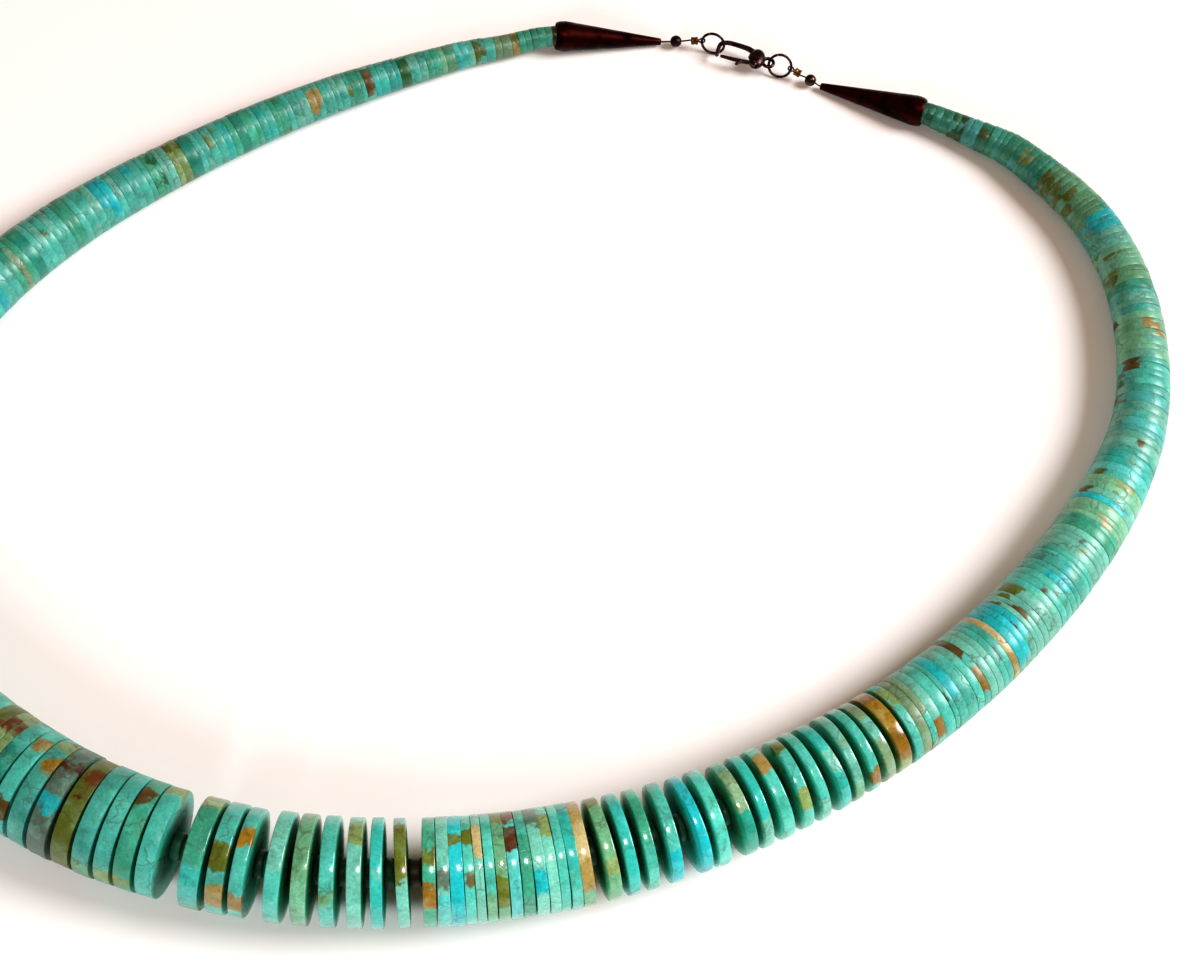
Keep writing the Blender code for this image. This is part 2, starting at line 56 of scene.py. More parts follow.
def tintColour(name):
    # web colour to the linear colour that shaders take, by the display's curve
    values = np.array([int(tints[name][start:start + 2], 16) for start in (0, 2, 4)]) / 255
    linear = np.where(values > 0.04045, ((values + 0.055) / 1.055) ** 2.4, values / 12.92)
    toned = np.maximum(linear * tintGain["gain"] - tintGain["gloss"], linear * tintGain["least"])
    return np.clip(toned, tintGain["darkest"], 1)


# The strand's route, the same as in the part's source
route = {
    "points": [                            # in plan, mm, from the right cone's tip round the front
        (36.8, 62.5), (51.5, 58.6), (59.9, 55.6), (66.5, 51.8), (76.3, 41.4), (81.3, 27.4), (81.1, 10.4),
        (74.3, -6.4), (62.9, -22.8), (48.9, -36.8), (32.5, -48.2), (14.3, -56.4), (-5.3, -61.0),
        (-25.1, -61.8), (-44.7, -57.8), (-62.5, -48.6), (-73.3, -38.0), (-79.1, -24.4), (-79.5, -9.6),
        (-74.5, 6.6), (-64.7, 21.8), (-50.7, 35.8), (-34.9, 48.2), (-17.9, 58.6), (-9.3, 62.6), (-1.8, 65.2),
        (13.1, 67.4),
    ],
    "growth": [                            # share of the way, share of the largest diameter
        (0.00, 0.240), (0.03, 0.350), (0.065, 0.440), (0.12, 0.510), (0.155, 0.545), (0.20, 0.655),
        (0.27, 0.745), (0.335, 0.840), (0.41, 0.925), (0.50, 0.965), (0.57, 1.000), (0.62, 0.970),
        (0.69, 0.840), (0.785, 0.600), (0.85, 0.480), (0.92, 0.385), (0.965, 0.290), (1.00, 0.215),
    ],
    "shade": [                             # painted light and shade: darker towards the ends and at the left front, lighter over the front discs
        (0.00, 0.46), (0.05, 0.56), (0.13, 0.76), (0.20, 1.00), (0.28, 0.91), (0.36, 1.22), (0.45, 1.10),
        (0.50, 0.88), (0.56, 0.62), (0.70, 0.72), (0.82, 0.70), (0.92, 0.72), (1.00, 0.58),
    ],
    "largestDisc": 13.2 * mm,
    "liftRun": 9.0 * mm,                   # the strand rises to a cone's mouth along this length
    "frontStart": 0.3043,                  # share of the strand where the front discs begin
    "stringInCone": 1.2 * mm,
    "headingReach": 0.4 * mm,              # the heading is read this far on each side
    "steps": 16,                           # points of the smooth path for each span
}
cone = {
    "length": 15.5 * mm, "widest": 4.3 * mm, "opening": 3.6 * mm, "shoulder": 1.5 * mm, "tip": 1.0 * mm,
    "tipHeight": 0.8 * mm, "wall": 0.3 * mm, "tipBore": 0.5 * mm, "tipLand": 0.7 * mm, "sides": 80,
    "lip": 0.02 * mm, "lipAngle": 0.12, "rows": 12, "flankStart": 0.04, "flankEnd": 0.15 * mm,
    "tipRounding": [(0.05 * mm, 0.04 * mm), (0.13 * mm, 0.0)],  # in from the tip's rim, back from its end
}


def smoothRoute(points, steps):
    # Catmull-Rom curve: each span blends its two ends and their neighbours with cubic weights
    points = np.array(points, dtype=float)
    padded = np.concatenate([[2 * points[0] - points[1]], points, [2 * points[-1] - points[-2]]])
    share = np.linspace(0, 1, steps, endpoint=False)[None, :, None]
    before, start, end, after = (padded[first:first + len(points) - 1, None, :] for first in range(4))
    spans = 0.5 * (2 * start + (end - before) * share
                   + (2 * before - 5 * start + 4 * end - after) * share ** 2
                   + (3 * start - before - 3 * end + after) * share ** 3)
    return np.concatenate([spans.reshape(-1, points.shape[1]), points[-1:]])


coneMouthHeight = ((cone["widest"] / 2 - cone["tipHeight"] * cone["shoulder"] / cone["length"])
                   / (1 - cone["shoulder"] / cone["length"]))
routePath = smoothRoute(route["points"], route["steps"]) * mm
routeReached = np.concatenate([[0], np.cumsum(np.linalg.norm(np.diff(routePath, axis=0), axis=1))])


def coneReach(path):
    # length along the route from a cone's tip to where its straight axis meets the route again
    run = math.sqrt(cone["length"] ** 2 - (coneMouthHeight - cone["tipHeight"]) ** 2)
    straight = np.linalg.norm(path - path[0], axis=1)
    reached = np.concatenate([[0], np.cumsum(np.linalg.norm(np.diff(path, axis=0), axis=1))])
    farthest = int(np.argmax(straight))
    return float(np.interp(run, straight[:farthest], reached[:farthest]))


strandStart = coneReach(routePath)
strandLength = routeReached[-1] - strandStart - coneReach(routePath[::-1])


def placesAlong(distances):
    # plan place and unit heading at distances from the right cone's mouth
    def place(at):
        return np.stack([np.interp(at, routeReached, routePath[:, axis]) for axis in (0, 1)], axis=-1)
    at = strandStart + np.asarray(distances, dtype=float)
    ahead = place(at + route["headingReach"]) - place(at - route["headingReach"])
    return place(at), ahead / np.linalg.norm(ahead, axis=-1, keepdims=True)


def radiiAlong(distances):
    table = np.array(route["growth"])
    share = np.asarray(distances) / strandLength
    return route["largestDisc"] / 2 * np.interp(share, table[:, 0], table[:, 1])


def heightsAlong(distances, resting):
    # a bead rests on the table, and near a cone it rises to the cone's mouth by a smooth step
    toEnd = np.clip(np.minimum(distances, strandLength - distances), 0, None)
    share = np.clip(1 - toEnd / route["liftRun"], 0, None)
    return resting + (coneMouthHeight - resting) * share ** 2 * (3 - 2 * share)


# Mesh making
def outwardFaces(points, faces):
    # signed volume by the sum of corner . (corner x corner); a negative one turns every face over
    first, second, third = (points[faces[:, corner]] for corner in (0, 1, 2))
    volume = np.einsum("ij,ij->i", first, np.cross(second, third)).sum()
    if faces.shape[1] == 4:
        fourth = points[faces[:, 3]]
        volume += np.einsum("ij,ij->i", first, np.cross(third, fourth)).sum()
    return faces if volume > 0 else faces[:, ::-1]


def newMesh(name, points, faces):
    mesh = bpy.data.meshes.new(name)
    mesh.from_pydata(points.tolist(), [], faces if isinstance(faces, list) else faces.tolist())
    return mesh


def addPiece(name, mesh, material, body, nodes):
    # the piece rides on its body and stands in for the nodes named
    mesh.materials.clear()
    mesh.materials.append(material)
    mesh.shade_smooth()
    piece = bpy.data.objects.new(name, mesh)
    scene.collection.objects.link(piece)
    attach(piece, body)
    if nodes:
        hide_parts(*nodes)


def metalPiece(name, shape, material, node):
    addPiece(name, newMesh(name, *shape), material, "necklace", [node])


def addAttribute(mesh, name, kind, values):
    # one value, vector or colour for each vertex
    field = {"FLOAT": "value", "FLOAT_VECTOR": "vector", "FLOAT_COLOR": "color"}[kind]
    if kind == "FLOAT_COLOR":
        values = np.concatenate([values, np.ones((len(values), 1))], axis=1)
    mesh.attributes.new(name, kind, "POINT").data.foreach_set(field, np.ascontiguousarray(values).ravel())


def gridFaces(rows, columns, closedRows, closedColumns):
    # quads between neighbours of a grid of points, joined round where a direction is closed
    row = np.arange(rows if closedRows else rows - 1)[:, None]
    column = np.arange(columns if closedColumns else columns - 1)[None, :]
    nextRow, nextColumn = (row + 1) % rows, (column + 1) % columns
    corners = [row * columns + column, nextRow * columns + column,
               nextRow * columns + nextColumn, row * columns + nextColumn]
    return np.stack([corner.ravel() for corner in corners], axis=1)


def tubeFaces(rings, sides, closed):
    # quads round a tube, and a flat cap on each end of an open one
    faces = gridFaces(rings, sides, closed, True).tolist()
    last = (rings - 1) * sides
    return faces if closed else faces + [list(range(sides))[::-1], list(range(last, last + sides))]


def turnedSurface(profile, sides, place, direction):
    # closed profile of (radius, along) turned about a direction: radius x (cos, sin) + along
    profile = np.array(profile)
    axis = np.array(Vector(direction).normalized())
    side = np.cross(axis, (0, 0, 1.0) if abs(axis[2]) < 0.9 else (1.0, 0, 0))
    side /= np.linalg.norm(side)
    up = np.cross(side, axis)
    angle = np.linspace(0, 2 * math.pi, sides, endpoint=False)[:, None, None]
    radius, along = profile[None, :, 0:1], profile[None, :, 1:2]
    points = np.array(place) + radius * (np.cos(angle) * side + np.sin(angle) * up) + along * axis
    faces = gridFaces(sides, len(profile), True, True)
    points = points.reshape(-1, 3)
    return points, outwardFaces(points, faces)


def sweptTube(path, radii, sides, closed=False):
    # circle carried along a path: point + radius x (cos x side + sin x up), where the side is level,
    # or square to north on steep stretches
    path = np.array(path, dtype=float)
    ahead = np.roll(path, -1, axis=0) - np.roll(path, 1, axis=0)
    if not closed:
        ahead[0], ahead[-1] = path[1] - path[0], path[-1] - path[-2]
    ahead /= np.linalg.norm(ahead, axis=1, keepdims=True)
    side = np.cross(ahead, (0, 0, 1.0))
    steep = np.linalg.norm(side, axis=1) < 0.2
    side[steep] = np.cross(ahead[steep], (0, 1.0, 0))
    side /= np.linalg.norm(side, axis=1, keepdims=True)
    up = np.cross(side, ahead)
    radii = np.broadcast_to(np.asarray(radii, dtype=float), len(path))[:, None, None]
    angle = np.linspace(0, 2 * math.pi, sides, endpoint=False)[None, :, None]
    points = path[:, None, :] + radii * (np.cos(angle) * side[:, None] + np.sin(angle) * up[:, None])
    return points.reshape(-1, 3), tubeFaces(len(path), sides, closed)


def joinedParts(parts):
    # several (points, faces) as one
    allPoints, allFaces, count = [], [], 0
    for points, faces in parts:
        allPoints.append(points)
        allFaces += [[corner + count for corner in face] for face in faces]
        count += len(points)
    return np.concatenate(allPoints), allFaces


# Node helpers
def link(tree, value, socket):
    if isinstance(value, bpy.types.NodeSocket):
        tree.links.new(value, socket)
    elif value is not None:
        socket.default_value = value


def mathNode(tree, operation, first, second):
    node = tree.nodes.new("ShaderNodeMath")
    node.operation = operation
    link(tree, first, node.inputs[0])
    link(tree, second, node.inputs[1])
    return node.outputs[0]


def vectorNode(tree, operation, first, second):
    node = tree.nodes.new("ShaderNodeVectorMath")
    node.operation = operation
    link(tree, first, node.inputs[0])
    link(tree, second, node.inputs["Scale"] if operation == "SCALE" else node.inputs[1])
    return node.outputs[0]


def mixNode(tree, share, first, second, blend="MIX"):
    node = tree.nodes.new("ShaderNodeMix")
    node.data_type, node.blend_type = "RGBA", blend
    link(tree, share, node.inputs["Factor"])
    link(tree, first, node.inputs[6])
    link(tree, second, node.inputs[7])
    return node.outputs[2]


def noiseNode(tree, place, scale, detail=4.0, roughness=0.55, output="Fac"):
    node = tree.nodes.new("ShaderNodeTexNoise")
    link(tree, place, node.inputs["Vector"])
    link(tree, scale, node.inputs["Scale"])
    node.inputs["Detail"].default_value = detail
    node.inputs["Roughness"].default_value = roughness
    return node.outputs[output]


def rangeNode(tree, value, low, high, start=0.0, end=1.0):
    # smooth step of the value from low to high, given out between start and end
    node = tree.nodes.new("ShaderNodeMapRange")
    node.interpolation_type = "SMOOTHSTEP"
    link(tree, value, node.inputs[0])
    for socket, number in zip(node.inputs[1:5], (low, high, start, end)):
        socket.default_value = number
    return node.outputs[0]


def attributeNode(tree, name, output):
    node = tree.nodes.new("ShaderNodeAttribute")
    node.attribute_name = name
    return node.outputs[output]


def newGroup(name, inputs, outputs):
    group = bpy.data.node_groups.new(name, "ShaderNodeTree")
    for direction, sockets in (("INPUT", inputs), ("OUTPUT", outputs)):
        for socketName, kind in sockets.items():
            group.interface.new_socket(socketName, in_out=direction, socket_type="NodeSocket" + kind)
    return group, group.nodes.new("NodeGroupInput").outputs, group.nodes.new("NodeGroupOutput").inputs


def useGroup(tree, group, **inputs):
    node = tree.nodes.new("ShaderNodeGroup")
    node.node_tree = group
    for name, value in inputs.items():
        link(tree, value, node.inputs[name])
    return node.outputs


def newMaterial(name, **shaderValues):
    material = bpy.data.materials.new(name)
    material.use_nodes = True
    tree = material.node_tree
    shader = tree.nodes["Principled BSDF"]
    for socketName, value in shaderValues.items():
        shader.inputs[socketName.replace("_", " ")].default_value = value
    return material, tree, shader


def addBump(tree, shader, height, distance, strength):
    bump = tree.nodes.new("ShaderNodeBump")
    bump.inputs["Distance"].default_value = distance
    bump.inputs["Strength"].default_value = strength
    link(tree, height, bump.inputs["Height"])
    tree.links.new(bump.outputs["Normal"], shader.inputs["Normal"])


# Stone: cloudy mottling, fine grain, specks of matrix and thin dark veins. Scales are per millimetre.
# A range holds the noise values where a smooth step starts and ends, and then what it gives there.
grainLook = {
    "warpScale": 0.5, "warpReach": 2.2,
    "cloudScale": 0.42, "paleRange": (0.48, 0.72, 0.0, 0.75), "darkRange": (0.30, 0.48, 0.55, 0.0),
    "paleGain": 1.4, "mintGain": 1.25, "mintShare": 0.22, "darkTint": (0.34, 0.50, 0.40, 1.0),
    "grainScale": 3.2, "grainRange": (0.32, 0.68),
    "grainTints": ((0.84, 0.84, 0.84, 1.0), (1.12, 1.12, 1.12, 1.0)),
    "speckScale": 1.1, "speckRange": (0.50, 0.62), "speckShare": 0.7, "speckTint": (0.42, 0.36, 0.22, 1.0),
    "veinCells": 0.30, "veinRange": (0.0, 0.04, 1.0, 0.0), "veinGain": 0.8, "veinShare": 0.5,
    "regionScale": 0.16, "regionRange": (0.46, 0.57), "grainHeight": 0.35,
}
edgeLook = {"scale": 0.55, "detail": 3.5, "roughness": 0.58, "reach": 1.8, "blur": 0.22}
tarnishLook = {"detail": 6.0, "roughness": 0.62, "range": (0.38, 0.66)}


def makeStoneGrain():
    look = grainLook
    tree, given, result = newGroup("stoneGrain", {"Place": "Vector", "Tint": "Color", "Matrix": "Float"},
                                   {"Colour": "Color", "Vein": "Float", "Height": "Float"})
    place, tint = given["Place"], given["Tint"]
    warp = noiseNode(tree, place, look["warpScale"], 3.0, output="Color")
    warped = vectorNode(tree, "ADD", place, vectorNode(tree, "SCALE", warp, look["warpReach"]))
    cloud = noiseNode(tree, warped, look["cloudScale"], 5.0, 0.6)
    grain = noiseNode(tree, place, look["grainScale"], 4.0, 0.6)
    cells = tree.nodes.new("ShaderNodeTexVoronoi")
    cells.feature = "DISTANCE_TO_EDGE"
    cells.inputs["Scale"].default_value = look["veinCells"]
    link(tree, warped, cells.inputs["Vector"])
    region = rangeNode(tree, noiseNode(tree, place, look["regionScale"], 2.0), *look["regionRange"])
    vein = mathNode(tree, "MULTIPLY", rangeNode(tree, cells.outputs["Distance"], *look["veinRange"]), region)
    mint = (*(tintColour("mint") * look["mintGain"]), 1.0)
    paler = mixNode(tree, look["mintShare"], vectorNode(tree, "SCALE", tint, look["paleGain"]), mint)
    colour = mixNode(tree, rangeNode(tree, cloud, *look["paleRange"]), tint, paler)
    colour = mixNode(tree, rangeNode(tree, cloud, *look["darkRange"]), colour, look["darkTint"], "MULTIPLY")
    fine = mixNode(tree, rangeNode(tree, grain, *look["grainRange"]), *look["grainTints"])
    colour = mixNode(tree, 1.0, colour, fine, "MULTIPLY")
    dots = rangeNode(tree, noiseNode(tree, warped, look["speckScale"], 5.0, 0.7), *look["speckRange"])
    speck = mathNode(tree, "MULTIPLY", mathNode(tree, "MULTIPLY", given["Matrix"], dots), look["speckShare"])
    colour = mixNode(tree, speck, colour, look["speckTint"], "MULTIPLY")
    veinTint = (*(tintColour("darkOlive") * look["veinGain"]), 1.0)
    colour = mixNode(tree, mathNode(tree, "MULTIPLY", vein, look["veinShare"]), colour, veinTint)
    link(tree, colour, result["Colour"])
    link(tree, vein, result["Vein"])
    raised = mathNode(tree, "MULTIPLY", grain, look["grainHeight"])
    link(tree, mathNode(tree, "SUBTRACT", raised, vein), result["Height"])
    return tree


def makePatchEdge():
    # how far inside a colour patch a point is, in millimetres, moved in or out by noise
    look = edgeLook
    tree, given, result = newGroup("patchEdge", {"Reach": "Float", "Place": "Vector"}, {"Mask": "Float"})
    rough = noiseNode(tree, given["Place"], look["scale"], look["detail"], look["roughness"])
    moved = mathNode(tree, "ADD", mathNode(tree, "MULTIPLY", rough, 2 * look["reach"]), given["Reach"])
    ragged = mathNode(tree, "SUBTRACT", moved, look["reach"])
    link(tree, rangeNode(tree, ragged, -look["blur"], look["blur"]), result["Mask"])
    return tree


def makeTarnish():
    # cloudy dark film on metal, with small bare spots
    look = tarnishLook
    tree, given, result = newGroup("tarnish", {"Place": "Vector", "Scale": "Float"},
                                   {"Film": "Float", "Height": "Float"})
    film = noiseNode(tree, given["Place"], given["Scale"], look["detail"], look["roughness"])
    link(tree, rangeNode(tree, film, *look["range"]), result["Film"])
    link(tree, film, result["Height"])
    return tree


stoneGrain, patchEdge, tarnish = makeStoneGrain(), makePatchEdge(), makeTarnish()

# Materials: each stone's roughness, clear coat and specular level, then what all of them have. A
# metal's scale is per metre.
stones = {
    "discStone": (0.18, 0.2, 0.5), "stringStone": (0.36, 0.02, 0.36), "spacerStone": (0.45, 0.0, 0.3),
}
stoneLook = {
    "IOR": 1.6, "coatRoughness": 0.06, "matrix": 0.12, "patchMatrix": 0.55, "veinRoughness": 0.25,
    # the face shade tint is painted shade for the faces in the gaps between the beads
    "faceShadeTint": (0.08, 0.92, 0.74, 1.0), "sawnRoughness": 0.75, "bumpDepth": 0.04 * mm, "bump": 0.35,
}
metals = {
    "darkCopper": {"film": (0.0035, 0.0006, 0.0005), "bare": (0.030, 0.0040, 0.0030), "scale": 420,
                   "roughness": 0.36, "bumpDepth": 0.05 * mm},
    "agedBrass": {"film": (0.035, 0.016, 0.005), "bare": (0.17, 0.080, 0.022), "scale": 900,
                  "roughness": 0.30, "bumpDepth": 0.03 * mm},
    "gunmetal": {"film": (0.010, 0.0045, 0.0045), "bare": (0.065, 0.038, 0.036), "scale": 800,
                 "roughness": 0.24, "bumpDepth": 0.02 * mm},
}
filmLook = {"addedRoughness": 0.2, "bump": 0.4}
cordLook = {
    "roughness": 0.75, "strands": 1.2, "distortion": 0.6, "dark": (0.012, 0.016, 0.015, 1.0),
    "pale": (0.055, 0.070, 0.062, 1.0), "bumpDepth": 0.05 * mm, "bump": 0.6,
}


def stoneMaterial(name, roughness, coat, mirror):
    # polished turquoise: a body tint with up to two ragged patches a bead, read from the mesh;
    # the rim is polished, and the sawn faces between the beads are dull and darkened by painted shade
    look = stoneLook
    material, tree, shader = newMaterial(name, IOR=look["IOR"], Coat_Roughness=look["coatRoughness"],
                                         Specular_IOR_Level=mirror)
    place = attributeNode(tree, "stonePlace", "Vector")
    colour = attributeNode(tree, "bodyTint", "Color")
    matrix = look["matrix"]
    for patch in ("patchOne", "patchTwo"):
        reach = attributeNode(tree, patch + "Reach", "Fac")
        mask = useGroup(tree, patchEdge, Reach=reach, Place=place)["Mask"]
        colour = mixNode(tree, mask, colour, attributeNode(tree, patch + "Tint", "Color"))
        matrix = mathNode(tree, "MAXIMUM", mathNode(tree, "MULTIPLY", mask, look["patchMatrix"]), matrix)
    grain = useGroup(tree, stoneGrain, Place=place, Tint=colour, Matrix=matrix)
    polish = attributeNode(tree, "polish", "Fac")
    # painted shade: the faces between the beads are darkened by this tint
    shadedSawnFaces = mixNode(tree, 1.0, grain["Colour"], look["faceShadeTint"], "MULTIPLY")
    link(tree, mixNode(tree, polish, shadedSawnFaces, grain["Colour"]), shader.inputs["Base Color"])
    dull = rangeNode(tree, polish, 0.0, 1.0, look["sawnRoughness"], roughness)
    veined = mathNode(tree, "MULTIPLY", grain["Vein"], look["veinRoughness"])
    link(tree, mathNode(tree, "ADD", dull, veined), shader.inputs["Roughness"])
    link(tree, mathNode(tree, "MULTIPLY", polish, coat), shader.inputs["Coat Weight"])
    addBump(tree, shader, grain["Height"], look["bumpDepth"], look["bump"])
    return material


def metalMaterial(name, film, bare, scale, roughness, bumpDepth):
    # oxidised metal: a dark film over barer metal, rougher where the film is thick
    material, tree, shader = newMaterial(name, Metallic=1.0)
    place = tree.nodes.new("ShaderNodeTexCoord").outputs["Object"]
    out = useGroup(tree, tarnish, Place=place, Scale=scale)
    link(tree, mixNode(tree, out["Film"], (*bare, 1.0), (*film, 1.0)), shader.inputs["Base Color"])
    rough = rangeNode(tree, out["Film"], 0.0, 1.0, roughness, roughness + filmLook["addedRoughness"])
    link(tree, rough, shader.inputs["Roughness"])
    addBump(tree, shader, out["Height"], bumpDepth, filmLook["bump"])
    return material


def threadMaterial():
    # twisted beading cord: fine diagonal strands along the cord, with painted shade in the grooves where they
    # meet
    look = cordLook
    material, tree, shader = newMaterial("darkThread", Roughness=look["roughness"])
    wave = tree.nodes.new("ShaderNodeTexWave")
    wave.inputs["Scale"].default_value = look["strands"]
    wave.inputs["Distortion"].default_value = look["distortion"]
    link(tree, attributeNode(tree, "cordPlace", "Vector"), wave.inputs["Vector"])
    # painted shade: the dark end of the wave is the shade in the grooves between the strands
    link(tree, mixNode(tree, wave.outputs["Fac"], look["dark"], look["pale"]), shader.inputs["Base Color"])
    addBump(tree, shader, wave.outputs["Fac"], look["bumpDepth"], look["bump"])
    return material


discStone, stringStone, spacerStone = (stoneMaterial(name, *finish) for name, finish in stones.items())
darkCopper, agedBrass, gunmetal = (metalMaterial(name, **finish) for name, finish in metals.items())
darkThread = threadMaterial()
print("materials made")


# Beads
beadShape = {
    "edgeLimit": 0.8,                      # an edge's rounding, at most this share of half a thickness
    "waves": ((2, 1.0), (3, 0.6), (5, 0.3)),  # lobes of the uneven outline, and each one's weight
    "polishStart": 0.90, "polishWidth": 0.085,  # shares of the radius
    "patchShift": 0.4,                     # a patch's middle along the bead, as a share of its thickness
    "noPatch": ("teal", 0, -1),
    "outside": -9.0,                       # the reach written where a bead has no patch, in mm
}


def beadProfiles(beads, look):
    # each bead's closed outline as (radius, along): bore, face, rounded edge, and the same back
    radius, half = beads["radius"][:, None], beads["thickness"][:, None] / 2
    edge = np.minimum(beads.get("edge", look["edge"]), half * beadShape["edgeLimit"])
    turn = np.linspace(0, math.pi / 2, look["edgeSteps"])[None, :]
    rim, rimAlong = radius - edge * (1 - np.sin(turn)), -half + edge * (1 - np.cos(turn))
    bore = np.full(radius.shape, look["bore"] / 2)
    face = [bore, (bore + radius * 2) / 3] if look["faceRing"] else [bore]
    near, far = [-half] * len(face), [half] * len(face)
    radial = np.concatenate(face + [rim, rim[:, ::-1]] + face[::-1], axis=1)
    return radial, np.concatenate(near + [rimAlong, -rimAlong[:, ::-1]] + far, axis=1)


def leanedAxes(beads, lean):
    # heading with a slight random lean, the level side square to it, and up
    heading = np.concatenate([beads["heading"], np.zeros((len(lean), 1))], axis=1)
    heading[:, 2] += lean[:, 0]
    heading[:, :2] += lean[:, 1:2] * np.stack([-heading[:, 1], heading[:, 0]], axis=1)
    heading /= np.linalg.norm(heading, axis=1, keepdims=True)
    side = np.cross(heading, (0, 0, 1.0))
    side /= np.linalg.norm(side, axis=1, keepdims=True)
    return heading[:, None, None], side[:, None, None], np.cross(side, heading)[:, None, None]


def beadPiece(name, beads, look, material, nodes):
    # every bead is a closed profile (radius, along) turned about its heading:
    # centre + radius x (sin x side + cos x up) + along x heading, with a slightly uneven outline
    count, sides = len(beads["radius"]), look["sides"]
    chance = np.random.default_rng(look["seed"])
    radial, along = beadProfiles(beads, look)
    radius, rings = beads["radius"][:, None], radial.shape[1]
    angle = np.linspace(0, 2 * math.pi, sides, endpoint=False)
    phase = chance.uniform(0, 2 * math.pi, (count, 3, 1))
    swing = look["uneven"] * sum(weight * np.cos(lobes * angle + phase[:, index])
                                 for index, (lobes, weight) in enumerate(beadShape["waves"]))
    outward = radial[:, None, :] * (1 + swing[:, :, None] * (radial / radius)[:, None, :])
    heading, side, up = leanedAxes(beads, chance.normal(0, look["lean"], (count, 2)))
    sine, cosine = np.sin(angle)[None, :, None], np.cos(angle)[None, :, None]
    turned = outward[..., None] * (sine[..., None] * side + cosine[..., None] * up)
    points = beads["centre"][:, None, None, :] + turned + along[:, None, :, None] * heading
    one = gridFaces(sides, rings, True, True)
    faces = (one[None] + (np.arange(count) * sides * rings)[:, None, None]).reshape(-1, 4)
    points = points.reshape(-1, 3)
    mesh = newMesh(name, points, outwardFaces(points, faces))
    addPiece(name, mesh, material, "necklace", nodes)

    lengths = np.broadcast_to(along[:, None, :], outward.shape)
    local = np.stack([outward * sine, outward * cosine, lengths], axis=-1) / mm
    seeds = chance.uniform(-400, 400, (count, 1, 1, 3))
    addAttribute(mesh, "stonePlace", "FLOAT_VECTOR", (local + seeds).reshape(-1, 3))
    polish = np.clip((radial - radius * beadShape["polishStart"]) / (radius * beadShape["polishWidth"]), 0, 1)
    addAttribute(mesh, "polish", "FLOAT", np.broadcast_to(polish[:, None, :], outward.shape).ravel())
    # painted light and shade along the strand scales each bead's body, with a random tone, and its patches
    paintedLightFalloff = np.interp(beads["reached"] / strandLength, *np.array(route["shade"]).T)[:, None]
    shade = paintedLightFalloff * (1 + chance.normal(0, look["shadeSpread"], (count, 1)))
    body = np.array([tintColour(tint) for tint in beads["tint"]]) * shade
    addAttribute(mesh, "bodyTint", "FLOAT_COLOR", np.repeat(body, sides * rings, axis=0))
    for index, patch in enumerate(("patchOne", "patchTwo")):
        rows = [patches[index] if len(patches) > index else beadShape["noPatch"]
                for patches in beads["patches"]]
        colours = np.array([tintColour(tint) for tint, _, _ in rows]) * paintedLightFalloff
        shift = chance.uniform(-beadShape["patchShift"], beadShape["patchShift"], (count, 1, 1))
        reach = patchReach(rows, local, beads, shift, look["patchTaper"])
        addAttribute(mesh, patch + "Tint", "FLOAT_COLOR", np.repeat(colours, sides * rings, axis=0))
        addAttribute(mesh, patch + "Reach", "FLOAT", reach.ravel())


def patchReach(rows, local, beads, shift, taper):
    # how far inside its bead's patch each point is, in mm: reach - distance from the patch's middle,
    # where the distance along the bead is scaled so that the patch narrows towards its faces
    radius, thickness = beads["radius"][:, None, None] / mm, beads["thickness"][:, None, None] / mm
    spot = np.radians([angle for _, angle, _ in rows])[:, None, None]
    reach = np.array([share for _, _, share in rows])[:, None, None] * radius
    across = local[..., 0] - np.sin(spot) * radius
    upward = local[..., 1] - np.cos(spot) * radius
    lengthwise = (local[..., 2] - shift * thickness) / (thickness / 2) * taper / mm
    distance = np.sqrt(across ** 2 + upward ** 2 + lengthwise ** 2)
    return np.where(reach > 0, reach - distance, beadShape["outside"])


